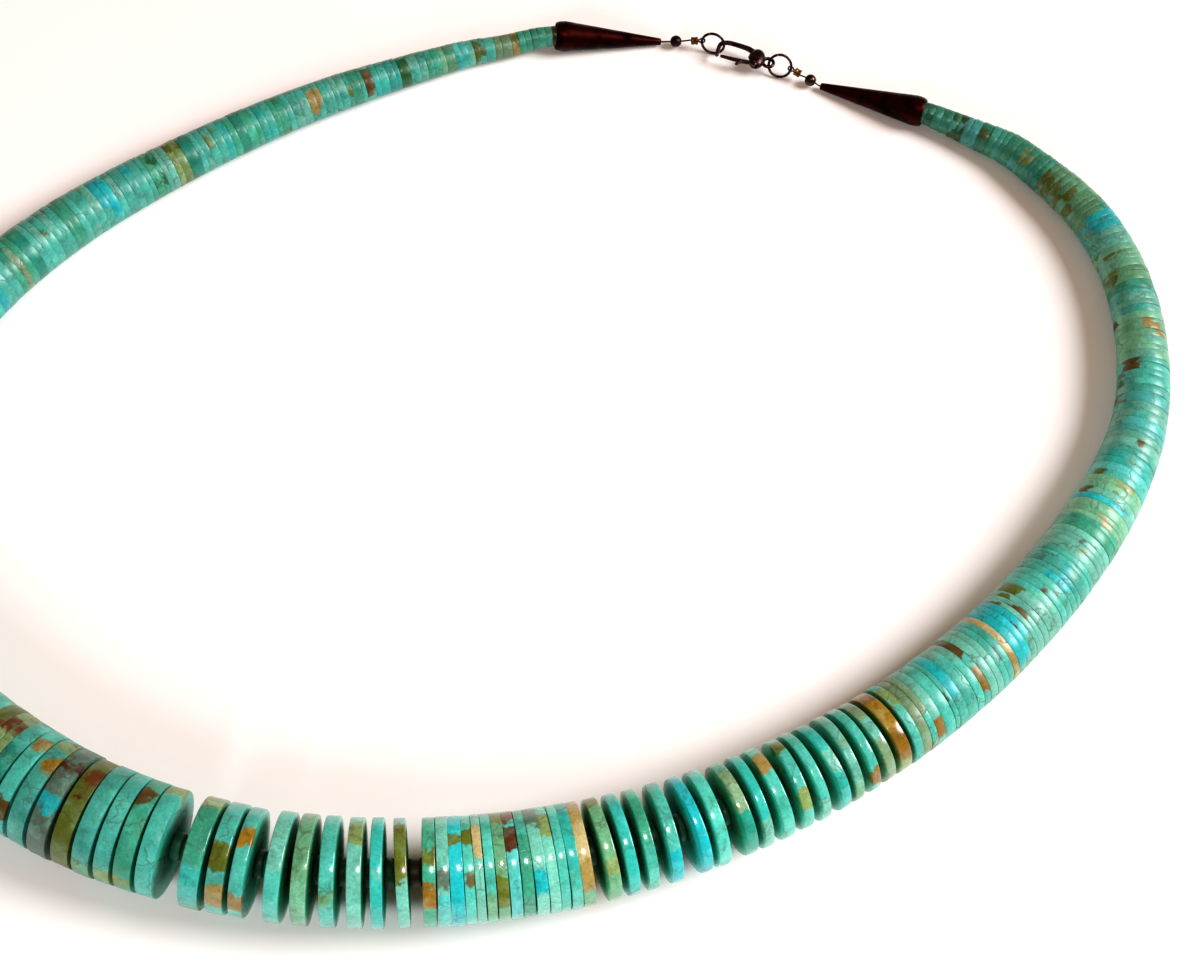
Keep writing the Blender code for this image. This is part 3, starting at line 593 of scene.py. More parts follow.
# Front discs from right to left: thickness and gap after it in mm, turn in degrees, body tint, then
# patches of (tint, degrees from straight up towards the loop's inside, reach as a share of the radius)
blockGap = 0.12
frontDiscs = [
    (1.7, 0.75, 0, "honey", ("lichen", -90, 0.50), ("gold", 8, 0.5)),
    (1.25, 0.8, 2, "sage", ("mint", 2, 0.30)),
    (1.15, 1.0, 0, "turquoise", ("honey", -62, 0.26)),
    (1.15, 1.05, -2, "mint", ("jade", -80, 0.5), ("lichen", 3, 0.13)),
    (1.3, 1.25, 2, "bright", ("mint", -10, 0.30)),
    (1.15, 0.9, 0, "turquoise", ("mint", -75, 0.45)),
    (1.3, 1.4, -2, "turquoise", ("lichen", -38, 0.26), ("olive", 42, 0.24)),
    (1.45, 1.15, 1, "turquoise", ("tan", 26, 0.31)),
    (1.15, 0.95, 0, "bright", ("mint", -70, 0.50)),
    (1.4, 1.85, 2, "teal", ("sage", 10, 0.56)),
    (1.45, 0.95, 0, "turquoise"),
    (1.2, 1.85, 3, "sky", ("mint", -23, 0.10)),
    (1.4, 1.5, -1, "turquoise", ("sky", -68, 0.50), ("brown", -30, 0.05)),
    (1.25, 1.05, 0, "seaGreen", ("turquoise", -50, 0.5)),
    (1.35, 0.9, 1, "bright"),
    (1.45, 1.25, 3, "jade", ("lichen", -38, 0.22), ("olive", 52, 0.25)),
    (1.35, blockGap, 0, "tan", ("jade", -88, 0.55), ("cream", -2, 0.40)),
    (1.2, blockGap, 0, "bright", ("turquoise", -60, 0.6)),
    (1.0, blockGap, 0, "turquoise"),
    (1.15, blockGap, 0, "mint", ("lichen", 24, 0.30)),
    (1.35, blockGap, 0, "mint", ("slate", 44, 0.36), ("sky", -40, 0.26)),
    (1.25, blockGap, 0, "seaGreen", ("turquoise", 30, 0.3)),
    (1.25, blockGap, 0, "paleSky", ("rust", 48, 0.24), ("redBrown", 14, 0.21)),
    (1.25, blockGap, 0, "jade", ("olive", 55, 0.30), ("olive", -40, 0.34)),
    (1.05, blockGap, 0, "turquoise", ("jade", -66, 0.4)),
    (0.95, blockGap, 0, "mint", ("cream", 15, 0.40)),
    (1.1, blockGap, 0, "turquoise", ("olive", 20, 0.18), ("brown", -28, 0.13)),
    (1.45, blockGap, 0, "sky", ("olive", 18, 0.10)),
    (1.3, blockGap, 0, "mint", ("slate", -26, 0.20), ("paleSky", -72, 0.52)),
    (1.5, 1.7, 0, "seaGreen", ("olive", 0, 0.18), ("honey", -44, 0.24)),
    (1.35, 1.35, 3, "mint", ("olive", 12, 0.62)),
    (1.35, 0.95, 1, "bright", ("mint", -18, 0.12)),
    (1.65, 1.25, 1, "mint", ("lichen", 27, 0.24)),
    (1.65, 1.2, 1, "turquoise", ("jade", -45, 0.14)),
    (1.75, 1.05, 0, "jade", ("paleGreen", -60, 0.5)),
    (1.75, 2.1, -1, "turquoise", ("mint", 10, 0.5)),
    (1.6, 0.5, -1, "turquoise", ("gold", 12, 0.16), ("honey", -65, 0.22)),
    (2.0, 0.7, 0, "turquoise", ("olive", -16, 0.25), ("tan", -60, 0.27)),
    (2.3, 2.7, 0, "seaGreen", ("lichen", 50, 0.28), ("bright", -56, 0.42)),
]
discLook = {
    "sides": 88, "edge": 0.16 * mm, "edgeSteps": 4, "bore": 1.8 * mm, "faceRing": True, "seed": 11,
    "uneven": 0.0022, "lean": 0.006, "shadeSpread": 0.05, "patchTaper": 0.4 * mm, "radiusSpread": 0.006,
    "blockEdge": 0.06 * mm, "blockGrowth": 0.06 * mm,
}

# Thick beads at the right end of the left string, in the same columns but without the turn
thickBeads = [
    (2.0, 0.35, "turquoise", ("lichen", 58, 0.3)),
    (2.05, 0.35, "seaGreen", ("brown", 28, 0.27), ("lichen", -78, 0.25)),
    (1.9, 0.35, "turquoise", ("lichen", -80, 0.3)),
    (2.1, 0.3, "turquoise", ("jade", -85, 0.4)),
    (2.2, 0.45, "olive", ("rust", 26, 0.22), ("redBrown", -1, 0.09)),
    (2.3, 0.35, "slate", ("sky", -17, 0.20), ("redBrown", 22, 0.2)),
    (2.1, 0.35, "turquoise", ("gold", 17, 0.2), ("lichen", 50, 0.22)),
    (1.8, 0.25, "turquoise", ("tan", 33, 0.2), ("brown", -50, 0.3)),
    (1.8, 0.1, "teal", ("turquoise", 40, 0.5)),
]


def beadSet(distances, thickness, rows, spread, seed, turns=None):
    # centres on the route at rest on the table, with slightly uneven radii
    distances = np.asarray(distances)
    places, headings = placesAlong(distances)
    if turns is not None:
        angle = np.radians(turns)
        headings = np.stack([headings[:, 0] * np.cos(angle) - headings[:, 1] * np.sin(angle),
                             headings[:, 0] * np.sin(angle) + headings[:, 1] * np.cos(angle)], axis=1)
    shrink = np.abs(np.random.default_rng(seed).normal(0, spread, len(distances)))
    radii = radiiAlong(distances) * (1 - shrink)
    heights = heightsAlong(distances, radii)
    return {
        "centre": np.concatenate([places, heights[:, None]], axis=1), "heading": headings, "radius": radii,
        "thickness": np.asarray(thickness), "tint": [row[0] for row in rows], "reached": distances,
        "patches": [row[1:] for row in rows],
    }


frontStart = route["frontStart"] * strandLength
thickness = np.array([row[0] for row in frontDiscs]) * mm
gaps = np.array([row[1] for row in frontDiscs]) * mm
reached = frontStart + np.concatenate([[0], np.cumsum(thickness + gaps)])
discMiddles, frontEnd = reached[:-1] + thickness / 2, reached[-1]
discTurns, discRows = [row[2] for row in frontDiscs], [row[3:] for row in frontDiscs]
discs = beadSet(discMiddles, thickness, discRows, discLook["radiusSpread"], 3, discTurns)
inBlock = gaps == blockGap * mm            # the block's discs nearly touch and have sharper edges
discs["edge"] = np.where(inBlock, discLook["blockEdge"], discLook["edge"])[:, None]
discs["thickness"] = thickness + np.where(inBlock, discLook["blockGrowth"], 0)
beadPiece("front_discs", discs, discLook, discStone,
          [f"disc_{number:02d}" for number in range(1, len(frontDiscs) + 1)])
print("front discs made")

# Bands of tint along the right string: from, to (mm from the right cone), tint, patches
rightBands = [
    (-2, 1, "deepTeal"), (1, 3.6, "seaGreen"), (3.6, 6.3, "forest"), (6.3, 8, "paleSky"),
    (8, 9.6, "seaGreen", ("olive", 22, 0.5)), (9.6, 15.6, "seaGreen"),
    (15.6, 18, "seaGreen", ("lichen", 35, 0.6)), (18, 20.6, "teal"),
    (20.6, 24.6, "jade", ("olive", 55, 0.6)), (24.6, 26.3, "jade", ("olive", 34, 0.7)),
    (26.3, 28, "jade", ("olive", 64, 0.4)), (28, 29.8, "jade"), (29.8, 32.2, "sky", ("jade", 75, 0.45)),
    (32.2, 35.8, "mint", ("seaGreen", 75, 0.5)), (35.8, 37.2, "paleGreen", ("olive", 62, 0.4)),
    (37.2, 39.6, "paleGreen"), (39.6, 41, "jade", ("olive", 60, 0.35)), (41, 44, "seaGreen"),
    (44, 46.4, "mint"), (46.4, 48, "paleGreen", ("redBrown", 68, 0.35)),
    (48, 50.5, "paleGreen", ("tan", -14, 0.33)), (50.5, 54.6, "paleGreen"),
    (54.6, 55.7, "turquoise", ("brown", 42, 0.6)), (55.7, 58, "turquoise", ("forest", 68, 0.45)),
    (58, 59.3, "turquoise"), (59.3, 61, "paleSky", ("slate", 72, 0.4)), (61, 63.8, "mint"),
    (63.8, 66.2, "paleSky", ("mint", 64, 0.5)), (66.2, 68.6, "mint", ("brown", -12, 0.12)),
    (68.6, 70.6, "turquoise"), (70.6, 72.5, "bright", ("mint", 0, 0.3)), (72.5, 74, "paleSky"),
    (74, 75, "turquoise", ("olive", 45, 0.35)), (75, 77, "paleGreen", ("lichen", 0, 0.4)),
    (77, 78.4, "mint", ("brown", 50, 0.2), ("brown", -10, 0.14)), (78.4, 79.6, "sky", ("mint", -40, 0.5)),
    (79.6, 82, "paleGreen", ("cream", -10, 0.2)), (82, 84, "seaGreen"),
    (84, 86.3, "mint", ("slate", -10, 0.2)), (86.3, 88.6, "mint", ("lichen", -12, 0.2)),
    (88.6, 90.2, "turquoise", ("brown", 8, 0.16)), (90.2, 93, "turquoise", ("sky", -15, 0.4)),
    (93, 95, "turquoise", ("brown", -20, 0.15)), (95, 96, "turquoise"),
    (96, 98.2, "mint", ("olive", 48, 0.4)), (98.2, 100.2, "mint", ("brown", 28, 0.30)),
    (100.2, 101.4, "sky", ("mint", -75, 0.7), ("redBrown", -25, 0.12)),
    (101.4, 103.9, "sky", ("mint", -88, 0.7)), (103.9, 104.7, "cream"),
    (104.7, 106.6, "turquoise", ("slate", -8, 0.2)), (106.6, 108, "mint"),
    (108, 109.6, "turquoise", ("brown", 42, 0.85), ("honey", -40, 0.45)), (109.6, 111.6, "turquoise"),
    (111.6, 113, "sky", ("turquoise", -60, 0.6)), (113, 115.6, "turquoise", ("forest", -25, 0.16)),
    (115.6, 117.1, "mint", ("honey", -52, 0.6)), (117.1, 118.7, "sage"),
    (118.7, 121.1, "turquoise", ("lichen", 20, 0.3)),
]

# The left string after its thick beads: bands that show in the photo, and a mixture between them
leftBands = [
    (229, 231.6, "lichen", ("rust", 40, 0.25)), (231.6, 233.5, "olive", ("rust", 25, 0.2)),
    (233.5, 240, "turquoise"), (312, 313.5, "sage"), (313.5, 315, "seaGreen"), (315, 316, "teal"),
    (316, 318, "turquoise"), (318, 319.5, "turquoise", ("olive", 18, 0.22)), (319.5, 321.5, "turquoise"),
    (321.5, 323, "seaGreen"), (323, 327.4, "turquoise"), (327.4, 329, "sky", ("turquoise", 85, 0.6)),
    (329, 331.4, "turquoise"), (331.4, 332.6, "turquoise", ("sky", 0, 0.35)), (332.6, 335.4, "turquoise"),
    (335.4, 337, "seaGreen", ("forest", 60, 0.3), ("forest", 0, 0.3)), (337, 338, "mint"),
    (338, 339, "mint", ("olive", 70, 0.35)), (339, 341.5, "lichen", ("olive", 0, 0.35)),
    (341.5, 342.8, "teal"), (342.8, 344.4, "turquoise"),
    (344.4, 346.3, "turquoise", ("lichen", 15, 0.42)), (346.3, 348, "bright"), (348, 349.2, "seaGreen"),
    (349.2, 350.4, "teal"), (350.4, 352.4, "seaGreen"), (352.4, 354, "bright"),
    (354, 356, "seaGreen", ("olive", 95, 0.3)), (356, 360.4, "turquoise"),
    (360.6, 361.7, "turquoise", ("tan", 40, 0.65)), (362, 365.4, "turquoise"),
    (365.4, 367, "turquoise", ("olive", 45, 0.5)), (367, 368.5, "seaGreen"),
    (368.5, 370, "turquoise", ("brown", 40, 0.85)), (370, 373.8, "bright"),
    (373.8, 375, "seaGreen", ("forest", 40, 0.9)), (375, 378, "turquoise"), (378, 380, "seaGreen"),
    (380, 382.4, "jade"), (382.4, 384.5, "paleSky"), (384.5, 386, "mint"),
    (386, 387.5, "turquoise", ("olive", 40, 0.9)), (387.5, 389, "turquoise"), (389, 391.2, "sage"),
    (391.2, 392.8, "tan", ("olive", 40, 0.6)), (392.8, 397.6, "seaGreen"), (397.6, 400, "darkOlive"),
]
mixture = [
    "turquoise", "turquoise", "seaGreen", "paleGreen", "turquoise", "bright", "mint", "seaGreen", "teal",
    "sky",
]
mixturePatches = ["olive", "tan", "lichen", "brown", "jade", "teal", "mint", "seaGreen"]
cousins = {                               # a near tint that clouds each tint's beads
    "turquoise": "mint", "mint": "turquoise", "seaGreen": "turquoise", "paleGreen": "mint", "jade": "seaGreen",
    "sky": "turquoise", "paleSky": "bright", "teal": "seaGreen", "bright": "turquoise", "cream": "tan",
}
stringLook = {
    "sides": 30, "edge": 0.05 * mm, "edgeSteps": 3, "bore": 1.2 * mm, "faceRing": False, "seed": 23,
    "uneven": 0.002, "lean": 0.003, "shadeSpread": 0.08, "patchTaper": 0.9 * mm, "radiusSpread": 0.008,
}
# Chances, and ranges of (least, most), for the tight beads and for patches that no band gives
stringChances = {
    "thickness": 1.08 * mm, "thicknessSpread": 0.26, "thicknessLimits": (0.6, 1.5), "packed": 0.985,
    "patch": 0.3, "patchAngle": (-60, 90), "patchReach": (0.25, 0.9),
    "angleJitter": 8, "reachJitter": (0.6, 1.25),
    "cousin": 0.7, "cousinAngle": (-90, 100), "cousinReach": (0.3, 0.9),
}


def tightBeads(start, end, bands, seed):
    # beads of uneven thickness set face to face from start to end, tinted by the bands
    look, chance = stringChances, np.random.default_rng(seed)
    count = round((end - start) / look["thickness"])
    widths = np.clip(chance.normal(1, look["thicknessSpread"], count), *look["thicknessLimits"])
    edges = start + np.concatenate([[0], np.cumsum(widths)]) * (end - start) / widths.sum()
    middles, rows = (edges[:-1] + edges[1:]) / 2, []
    for middle in middles / mm:
        band = next((row[2:] for row in bands if row[0] <= middle < row[1]), None)
        if band is None:
            band = (mixture[chance.integers(len(mixture))],)
            if chance.random() < look["patch"]:
                band += ((mixturePatches[chance.integers(len(mixturePatches))],
                          chance.uniform(*look["patchAngle"]), chance.uniform(*look["patchReach"])),)
        else:                              # neighbours in a band differ a little, as slices of stone do
            band = (band[0],) + tuple((tint, angle + chance.normal(0, look["angleJitter"]),
                                       reach * chance.uniform(*look["reachJitter"]))
                                      for tint, angle, reach in band[1:])
            if len(band) == 1 and chance.random() < look["cousin"]:
                band += ((cousins.get(band[0], "turquoise"),
                          chance.uniform(*look["cousinAngle"]), chance.uniform(*look["cousinReach"])),)
        rows.append(band)
    return middles, np.diff(edges) * look["packed"], rows


rightEnd = frontStart - 0.6 * mm           # the last tight bead stays clear of the first disc
rightMiddles, rightThickness, rightRows = tightBeads(-route["stringInCone"], rightEnd, rightBands, 5)
rightBeads = beadSet(rightMiddles, rightThickness, rightRows, stringLook["radiusSpread"], 6)
beadPiece("right_tight_beads", rightBeads, stringLook, stringStone, ["right_string"])

thickWidths = np.array([row[0] for row in thickBeads]) * mm
thickGaps = np.array([row[1] for row in thickBeads]) * mm
thickReached = frontEnd + np.concatenate([[0], np.cumsum(thickWidths + thickGaps)])
leftEnd = strandLength + route["stringInCone"]
leftMiddles, leftThickness, leftRows = tightBeads(thickReached[-1], leftEnd, leftBands, 7)
allMiddles = np.concatenate([thickReached[:-1] + thickWidths / 2, leftMiddles])
allThickness = np.concatenate([thickWidths, leftThickness])
allRows = [row[2:] for row in thickBeads] + leftRows
leftBeads = beadSet(allMiddles, allThickness, allRows, stringLook["radiusSpread"], 8)
beadPiece("left_tight_beads", leftBeads, stringLook | {"seed": 29}, stringStone,
          ["left_string"])
print("tight strings made")


# Spacers and thread
spacer = {
    "diameter": 3.3 * mm, "smallestGap": 0.25 * mm, "length": 1.2 * mm, "packed": 0.97,
    # the spacers' dark tints are their own deep colour with painted shade of the narrow gaps they sit in
    "tints": ["deepTeal", "forest", "deepTeal", "darkOlive", "deepTeal"],
    "look": {"sides": 24, "edge": 0.3 * mm, "edgeSteps": 4, "bore": 1.1 * mm, "faceRing": False, "seed": 31,
             "uneven": 0.004, "lean": 0.0, "shadeSpread": 0.12, "patchTaper": 0.4 * mm},
}
thread = {"diameter": 0.9 * mm, "step": 0.8 * mm, "sides": 14, "twist": 1.5, "lengthwise": 3}


def centresAlong(distances):
    # centres and headings on the strand's centre line
    places, headings = placesAlong(distances)
    heights = heightsAlong(distances, radiiAlong(distances))
    return np.concatenate([places, heights[:, None]], axis=1), headings


def spacerBeads():
    # one or more small beads fill each gap between neighbouring large beads
    edgesNear = np.concatenate([discMiddles + thickness / 2, thickReached[:-1] + thickWidths])
    edgesFar = np.concatenate([discMiddles[1:] - thickness[1:] / 2, thickReached])
    middles, widths = [], []
    for near, far in zip(edgesNear, edgesFar):
        room = far - near
        if room < spacer["smallestGap"]:
            continue
        count = max(round(room / spacer["length"]), 1)
        middles += list(near + room * (np.arange(count) + 0.5) / count)
        widths += [room / count * spacer["packed"]] * count
    middles, total = np.array(middles), len(middles)
    centres, headings = centresAlong(middles)
    return {
        "centre": centres, "heading": headings, "radius": np.full(total, spacer["diameter"] / 2),
        "thickness": np.array(widths), "reached": middles, "patches": [()] * total,
        "tint": [spacer["tints"][index % len(spacer["tints"])] for index in range(total)],
    }


def makeThread():
    # a round cord along the strand's centre line, from inside one cone to inside the other
    distances = np.arange(-route["stringInCone"], strandLength + route["stringInCone"], thread["step"])
    path, _ = centresAlong(distances)
    mesh = newMesh("beading_thread", *sweptTube(path, thread["diameter"] / 2, thread["sides"]))
    addPiece("beading_thread", mesh, darkThread, "necklace", [])
    turns = np.tile(np.arange(thread["sides"]) * thread["twist"], len(path))
    lengths = np.repeat(distances / mm, thread["sides"]) * thread["lengthwise"]
    addAttribute(mesh, "cordPlace", "FLOAT_VECTOR", np.stack([lengths + turns, turns * 0, turns * 0], axis=1))


beadPiece("spacer_beads", spacerBeads(), spacer["look"], spacerStone, ["core_cord"])
makeThread()
print("spacers and thread made")


# Cones, end beads, crimps, rings and wires
claspPlace = {"spot": (25.5 * mm, 65.55 * mm), "heading": math.radians(-11)}
ring = {
    "radius": 1.65 * mm, "wire": 0.4 * mm, "leftTilt": math.radians(76), "rightTilt": math.radians(60),
    "cut": 0.05 * mm, "cutAt": math.radians(115), "cutRounding": 0.82, "endSteps": (0.02, 0.05),
    "steps": 90, "sides": 18,
}
hook = {"point": (-3.4 * mm, 0.8 * mm)}
tailEye = {"centre": 3.5 * mm, "radius": 0.76 * mm, "wire": 0.5 * mm}
claspHeight = ring["radius"] * math.sin(ring["leftTilt"]) + ring["wire"] / 2
claspFrame = (Matrix.Translation((*claspPlace["spot"], claspHeight))
              @ Matrix.Rotation(claspPlace["heading"], 4, "Z"))
endLink = {
    "wire": 0.24 * mm, "eye": 0.28 * mm, "laneGap": 0.08 * mm, "insideCone": 3.0 * mm, "wireSides": 14,
    "loopTurn": math.pi * 0.86, "loopSteps": 30, "bend": 4,
    "bead": 1.7 * mm, "bore": 0.7 * mm, "beadSides": 40, "arcSteps": 25, "beadHole": (0.93, 0.96),
    "crimp": 1.15 * mm, "crimpLength": 1.0 * mm, "crimpSides": 36, "crimpHole": 0.97,
    "pinch": 0.10, "pinchWidth": 0.4, "rolled": 0.12 * mm, "rolledFrom": 0.82,
}


def coneEnds(side):
    # centre of the mouth, tip and the direction from one to the other
    place = placesAlong([0.0 if side == "right" else strandLength])[0][0]
    mouth = np.array([*place, coneMouthHeight])
    tip = np.array([*routePath[0 if side == "right" else -1], cone["tipHeight"]])
    return mouth, tip, (tip - mouth) / np.linalg.norm(tip - mouth)


def makeCone(side):
    # quarter-ellipse mouth, long straight flank, rounded tip, and the hollow behind them
    mouth, _, direction = coneEnds(side)
    opening, widest, tip, bore = (cone[key] / 2 for key in ("opening", "widest", "tip", "tipBore"))
    end, shoulder = cone["length"], cone["shoulder"]
    angle = np.linspace(cone["lipAngle"], math.pi / 2, cone["rows"])
    outer = [(opening + (widest - opening) * math.sin(a), shoulder * (1 - math.cos(a))) for a in angle]
    flank = [(widest + (tip - widest) * share, shoulder + (end - cone["flankEnd"] - shoulder) * share)
             for share in np.linspace(cone["flankStart"], 1, cone["rows"])]
    rounding = [(tip - inward, end - back) for inward, back in cone["tipRounding"]]
    hollow = [(bore, end), (bore, end - cone["tipLand"]), (widest - cone["wall"], shoulder),
              (opening, cone["wall"])]
    shape = turnedSurface([(opening, cone["lip"])] + outer + flank + rounding + hollow, cone["sides"],
                          mouth, direction)
    metalPiece(f"{side}_end_cone", shape, darkCopper, f"{side}_cone")


def ringSpot(side):
    # the ring's centre along U and V: its wire lies in the hook, or a third of the play past the
    # middle of the tail eye
    if side == "left":
        return hook["point"][0] - ring["radius"], hook["point"][1]
    play = (tailEye["radius"] - tailEye["wire"] / 2 - ring["wire"] / 2) / 3
    return tailEye["centre"] + play + ring["radius"], 0.0


def sweptRing(path, radii, normal, sides):
    # circle carried along a flat path: point + radius x (cos x outward + sin x the plane's normal)
    path = np.array([list(point) for point in path])
    ahead = np.gradient(path, axis=0)
    ahead /= np.linalg.norm(ahead, axis=1, keepdims=True)
    out = np.cross(ahead, normal)
    angle = np.linspace(0, 2 * math.pi, sides, endpoint=False)[None, :, None]
    points = path[:, None] + radii[:, None, None] * (np.cos(angle) * out[:, None] + np.sin(angle) * normal)
    return points.reshape(-1, 3), tubeFaces(len(path), sides, False)


def makeRing(side):
    # a circle of wire with a fine cut, its ends a hair apart and lightly rounded
    place = (claspFrame @ Matrix.Translation((*ringSpot(side), 0))
             @ Matrix.Rotation(ring[side + "Tilt"], 4, "X"))
    half = ring["cut"] / ring["radius"] / 2
    near, far = (half + step for step in ring["endSteps"])
    arc = np.linspace(far, 2 * math.pi - far, ring["steps"])
    angle = ring["cutAt"] + np.concatenate([[half, near], arc, [2 * math.pi - near, 2 * math.pi - half]])
    radii = np.full(len(angle), ring["wire"] / 2)
    radii[[0, -1]] *= ring["cutRounding"]
    path = [place @ Vector((ring["radius"] * math.cos(a), ring["radius"] * math.sin(a), 0)) for a in angle]
    shape = sweptRing(path, radii, np.array(place.col[2][:3]), ring["sides"])
    metalPiece(f"{side}_ring", shape, gunmetal, f"{side}_jump_ring")


def crimpOutline(outer, half, bore):
    # a short tube, pinched at its middle and rolled in at its ends
    look, outline = endLink, []
    for share in np.linspace(-1, 1, look["arcSteps"]):
        pinched = outer * (1 - look["pinch"] * math.exp(-(share / look["pinchWidth"]) ** 2))
        rolled = look["rolled"] * max(abs(share) - look["rolledFrom"], 0) / (1 - look["rolledFrom"])
        outline.append((pinched - rolled, half * share))
    return outline + [(bore, half * look["crimpHole"]), (bore, -half * look["crimpHole"])]


def makeEndLink(side):
    # crimp at the ring, bead halfway to the cone's tip, and the wire through both
    u, v = ringSpot(side)
    outward = -1 if side == "left" else 1
    held = np.array(claspFrame @ Vector((u + outward * ring["radius"], v, 0)))
    _, tip, coneDirection = coneEnds(side)
    span = np.linalg.norm(tip - held)
    along = (tip - held) / span
    eye, bore = endLink["eye"] + endLink["wire"] / 2, endLink["bore"] / 2
    neck = endLink["eye"] + endLink["wire"] + endLink["laneGap"]
    half = endLink["crimpLength"] / 2
    crimpMiddle = neck + half
    beadMiddle = (crimpMiddle + half + span) / 2
    outline = crimpOutline(endLink["crimp"] / 2, half, bore)
    shape = turnedSurface(outline, endLink["crimpSides"], held + along * crimpMiddle, along)
    metalPiece(f"{side}_crimp_tube", shape, agedBrass, f"{side}_crimp")

    radius = endLink["bead"] / 2
    start = math.acos(bore / radius)
    angles = np.linspace(start, -start, endLink["arcSteps"])
    arc = [(radius * math.cos(a), radius * math.sin(a)) for a in angles]
    inner, reach = bore * endLink["beadHole"][0], radius * math.sin(start) * endLink["beadHole"][1]
    shape = turnedSurface(arc + [(inner, -reach), (inner, reach)], endLink["beadSides"],
                          held + along * beadMiddle, along)
    metalPiece(f"{side}_round_bead", shape, gunmetal, f"{side}_end_bead")

    # the wire's knots lie in the link's own frame, with Z from the ring to the cone's tip
    turn = Vector(along).to_track_quat("Z", "Y").to_matrix().to_4x4()
    turn.translation = held
    lane = (endLink["wire"] + endLink["laneGap"]) / 2
    loop = [(eye * math.sin(a), 0, -eye * math.cos(a))
            for a in np.linspace(endLink["loopTurn"], -endLink["loopTurn"], endLink["loopSteps"])]
    inside = turn.inverted() @ Vector(tip - coneDirection * endLink["insideCone"])
    knots = [(lane, 0, crimpMiddle + half / 2), (lane, 0, crimpMiddle), (lane, 0, neck)] + loop
    knots += [(-lane, 0, height) for height in (neck, crimpMiddle, crimpMiddle + half)]
    knots += [(0, 0, beadMiddle - radius), (0, 0, beadMiddle + radius), (0, 0, span), tuple(inside)]
    path = [list(turn @ Vector(point)) for point in smoothRoute(knots, endLink["bend"])]
    shape = sweptTube(path, endLink["wire"] / 2, endLink["wireSides"])
    metalPiece(f"{side}_eye_wire", shape, gunmetal, f"{side}_wire")


for side in ("left", "right"):
    makeCone(side)
    makeRing(side)
    makeEndLink(side)
print("cones and links made")


# Clasp, in millimetres along its own U (to the tail), V (away from the lever) and W (up)
clasp = {
    "base": (2.5, 3.5, 1.7), "baseCentre": (1.7, 0.1), "arm": 0.74, "pivot": (1.5, -0.8), "pin": 0.5,
    "pinLength": 1.3, "pinRoom": 0.08, "thickness": 0.7, "knuckle": 1.1, "slotRoom": 0.1, "voxel": 0.055,
    "gateBend": (-0.8, -1.0), "gateTip": -1.05, "stub": ((-0.3, -1.0), (-0.88, -1.73)),
    "softening": 4, "softened": 0.5, "barSteps": 6, "barSides": 24, "endSteps": 6, "endTurn": 0.94,
    "pinRim": ((0.0004, 1.0), (0.7, 0.99), (1.0, 0.93)),  # shares of the pin's radius and half length
}


def ellipsoid(centre, size, rings=24, sides=32):
    # size / 2 x (cos a cos b, cos a sin b, sin a), with a point at each pole
    rise = np.linspace(-math.pi / 2, math.pi / 2, rings + 2)[1:-1, None]
    turn = np.linspace(0, 2 * math.pi, sides, endpoint=False)[None, :]
    level, height = np.cos(rise), np.sin(rise)
    shell = np.stack([level * np.cos(turn), level * np.sin(turn), height + 0 * turn], axis=-1)
    points = np.concatenate([shell.reshape(-1, 3), [[0, 0, -1], [0, 0, 1]]])
    points = points * np.array(size) / 2 + np.array(centre)
    faces = gridFaces(rings, sides, False, True)[:, ::-1].tolist()
    last, count = (rings - 1) * sides, rings * sides
    faces += [[count, (i + 1) % sides, i] for i in range(sides)]
    faces += [[count + 1, last + i, last + (i + 1) % sides] for i in range(sides)]
    return points, faces


def roundBar(line):
    # smooth bar through rows of (U, V, radius), its ends closed by half circles of shrinking rings
    dense = smoothRoute(line, clasp["barSteps"])
    angle = np.linspace(0, math.pi / 2 * clasp["endTurn"], clasp["endSteps"])[1:]
    sine, cosine = np.sin(angle)[:, None], np.cos(angle)
    ends = []
    for row, inward in ((dense[0], dense[1]), (dense[-1], dense[-2])):
        away = (row[:2] - inward[:2]) / np.linalg.norm(row[:2] - inward[:2])
        ends.append(np.column_stack([row[:2] + away * row[2] * sine, row[2] * cosine]))
    rows = np.concatenate([ends[0][::-1], dense, ends[1]])
    path = np.column_stack([rows[:, :2], np.zeros(len(rows))])
    return sweptTube(path, rows[:, 2], clasp["barSides"])


def boxPoints(low, high):
    corners = [[x, y, z] for x in (low[0], high[0]) for y in (low[1], high[1]) for z in (low[2], high[2])]
    faces = [[0, 1, 3, 2], [4, 6, 7, 5], [0, 4, 5, 1], [2, 3, 7, 6], [0, 2, 6, 4], [1, 5, 7, 3]]
    return np.array(corners), faces


def fusedPiece(name, parts, cuts, body, node):
    # overlapping bars are fused by voxels, cut, softened like a casting and put in the clasp's frame
    made = []
    for label, shapes in (("shape", parts), ("cut", cuts)):
        mesh = newMesh(name + label, *joinedParts(shapes))
        made.append(bpy.data.objects.new(name + label, mesh))
        scene.collection.objects.link(made[-1])
    shape, cut = made
    cutMesh = bmesh.new()
    cutMesh.from_mesh(cut.data)
    bmesh.ops.recalc_face_normals(cutMesh, faces=cutMesh.faces)
    cutMesh.to_mesh(cut.data)
    cutMesh.free()
    fuse = shape.modifiers.new("fuse", "REMESH")
    fuse.mode, fuse.voxel_size = "VOXEL", clasp["voxel"]
    carve = shape.modifiers.new("carve", "BOOLEAN")
    carve.operation, carve.solver, carve.object = "DIFFERENCE", "EXACT", cut
    soften = shape.modifiers.new("soften", "SMOOTH")
    soften.factor, soften.iterations = clasp["softened"], clasp["softening"]
    bpy.context.view_layer.update()
    mesh = bpy.data.meshes.new_from_object(shape.evaluated_get(bpy.context.evaluated_depsgraph_get()))
    for item in made:
        bpy.data.objects.remove(item, do_unlink=True)
    mesh.transform(claspFrame @ Matrix.Scale(mm, 4))
    mesh.name = name
    addPiece(name, mesh, gunmetal, body, [node])


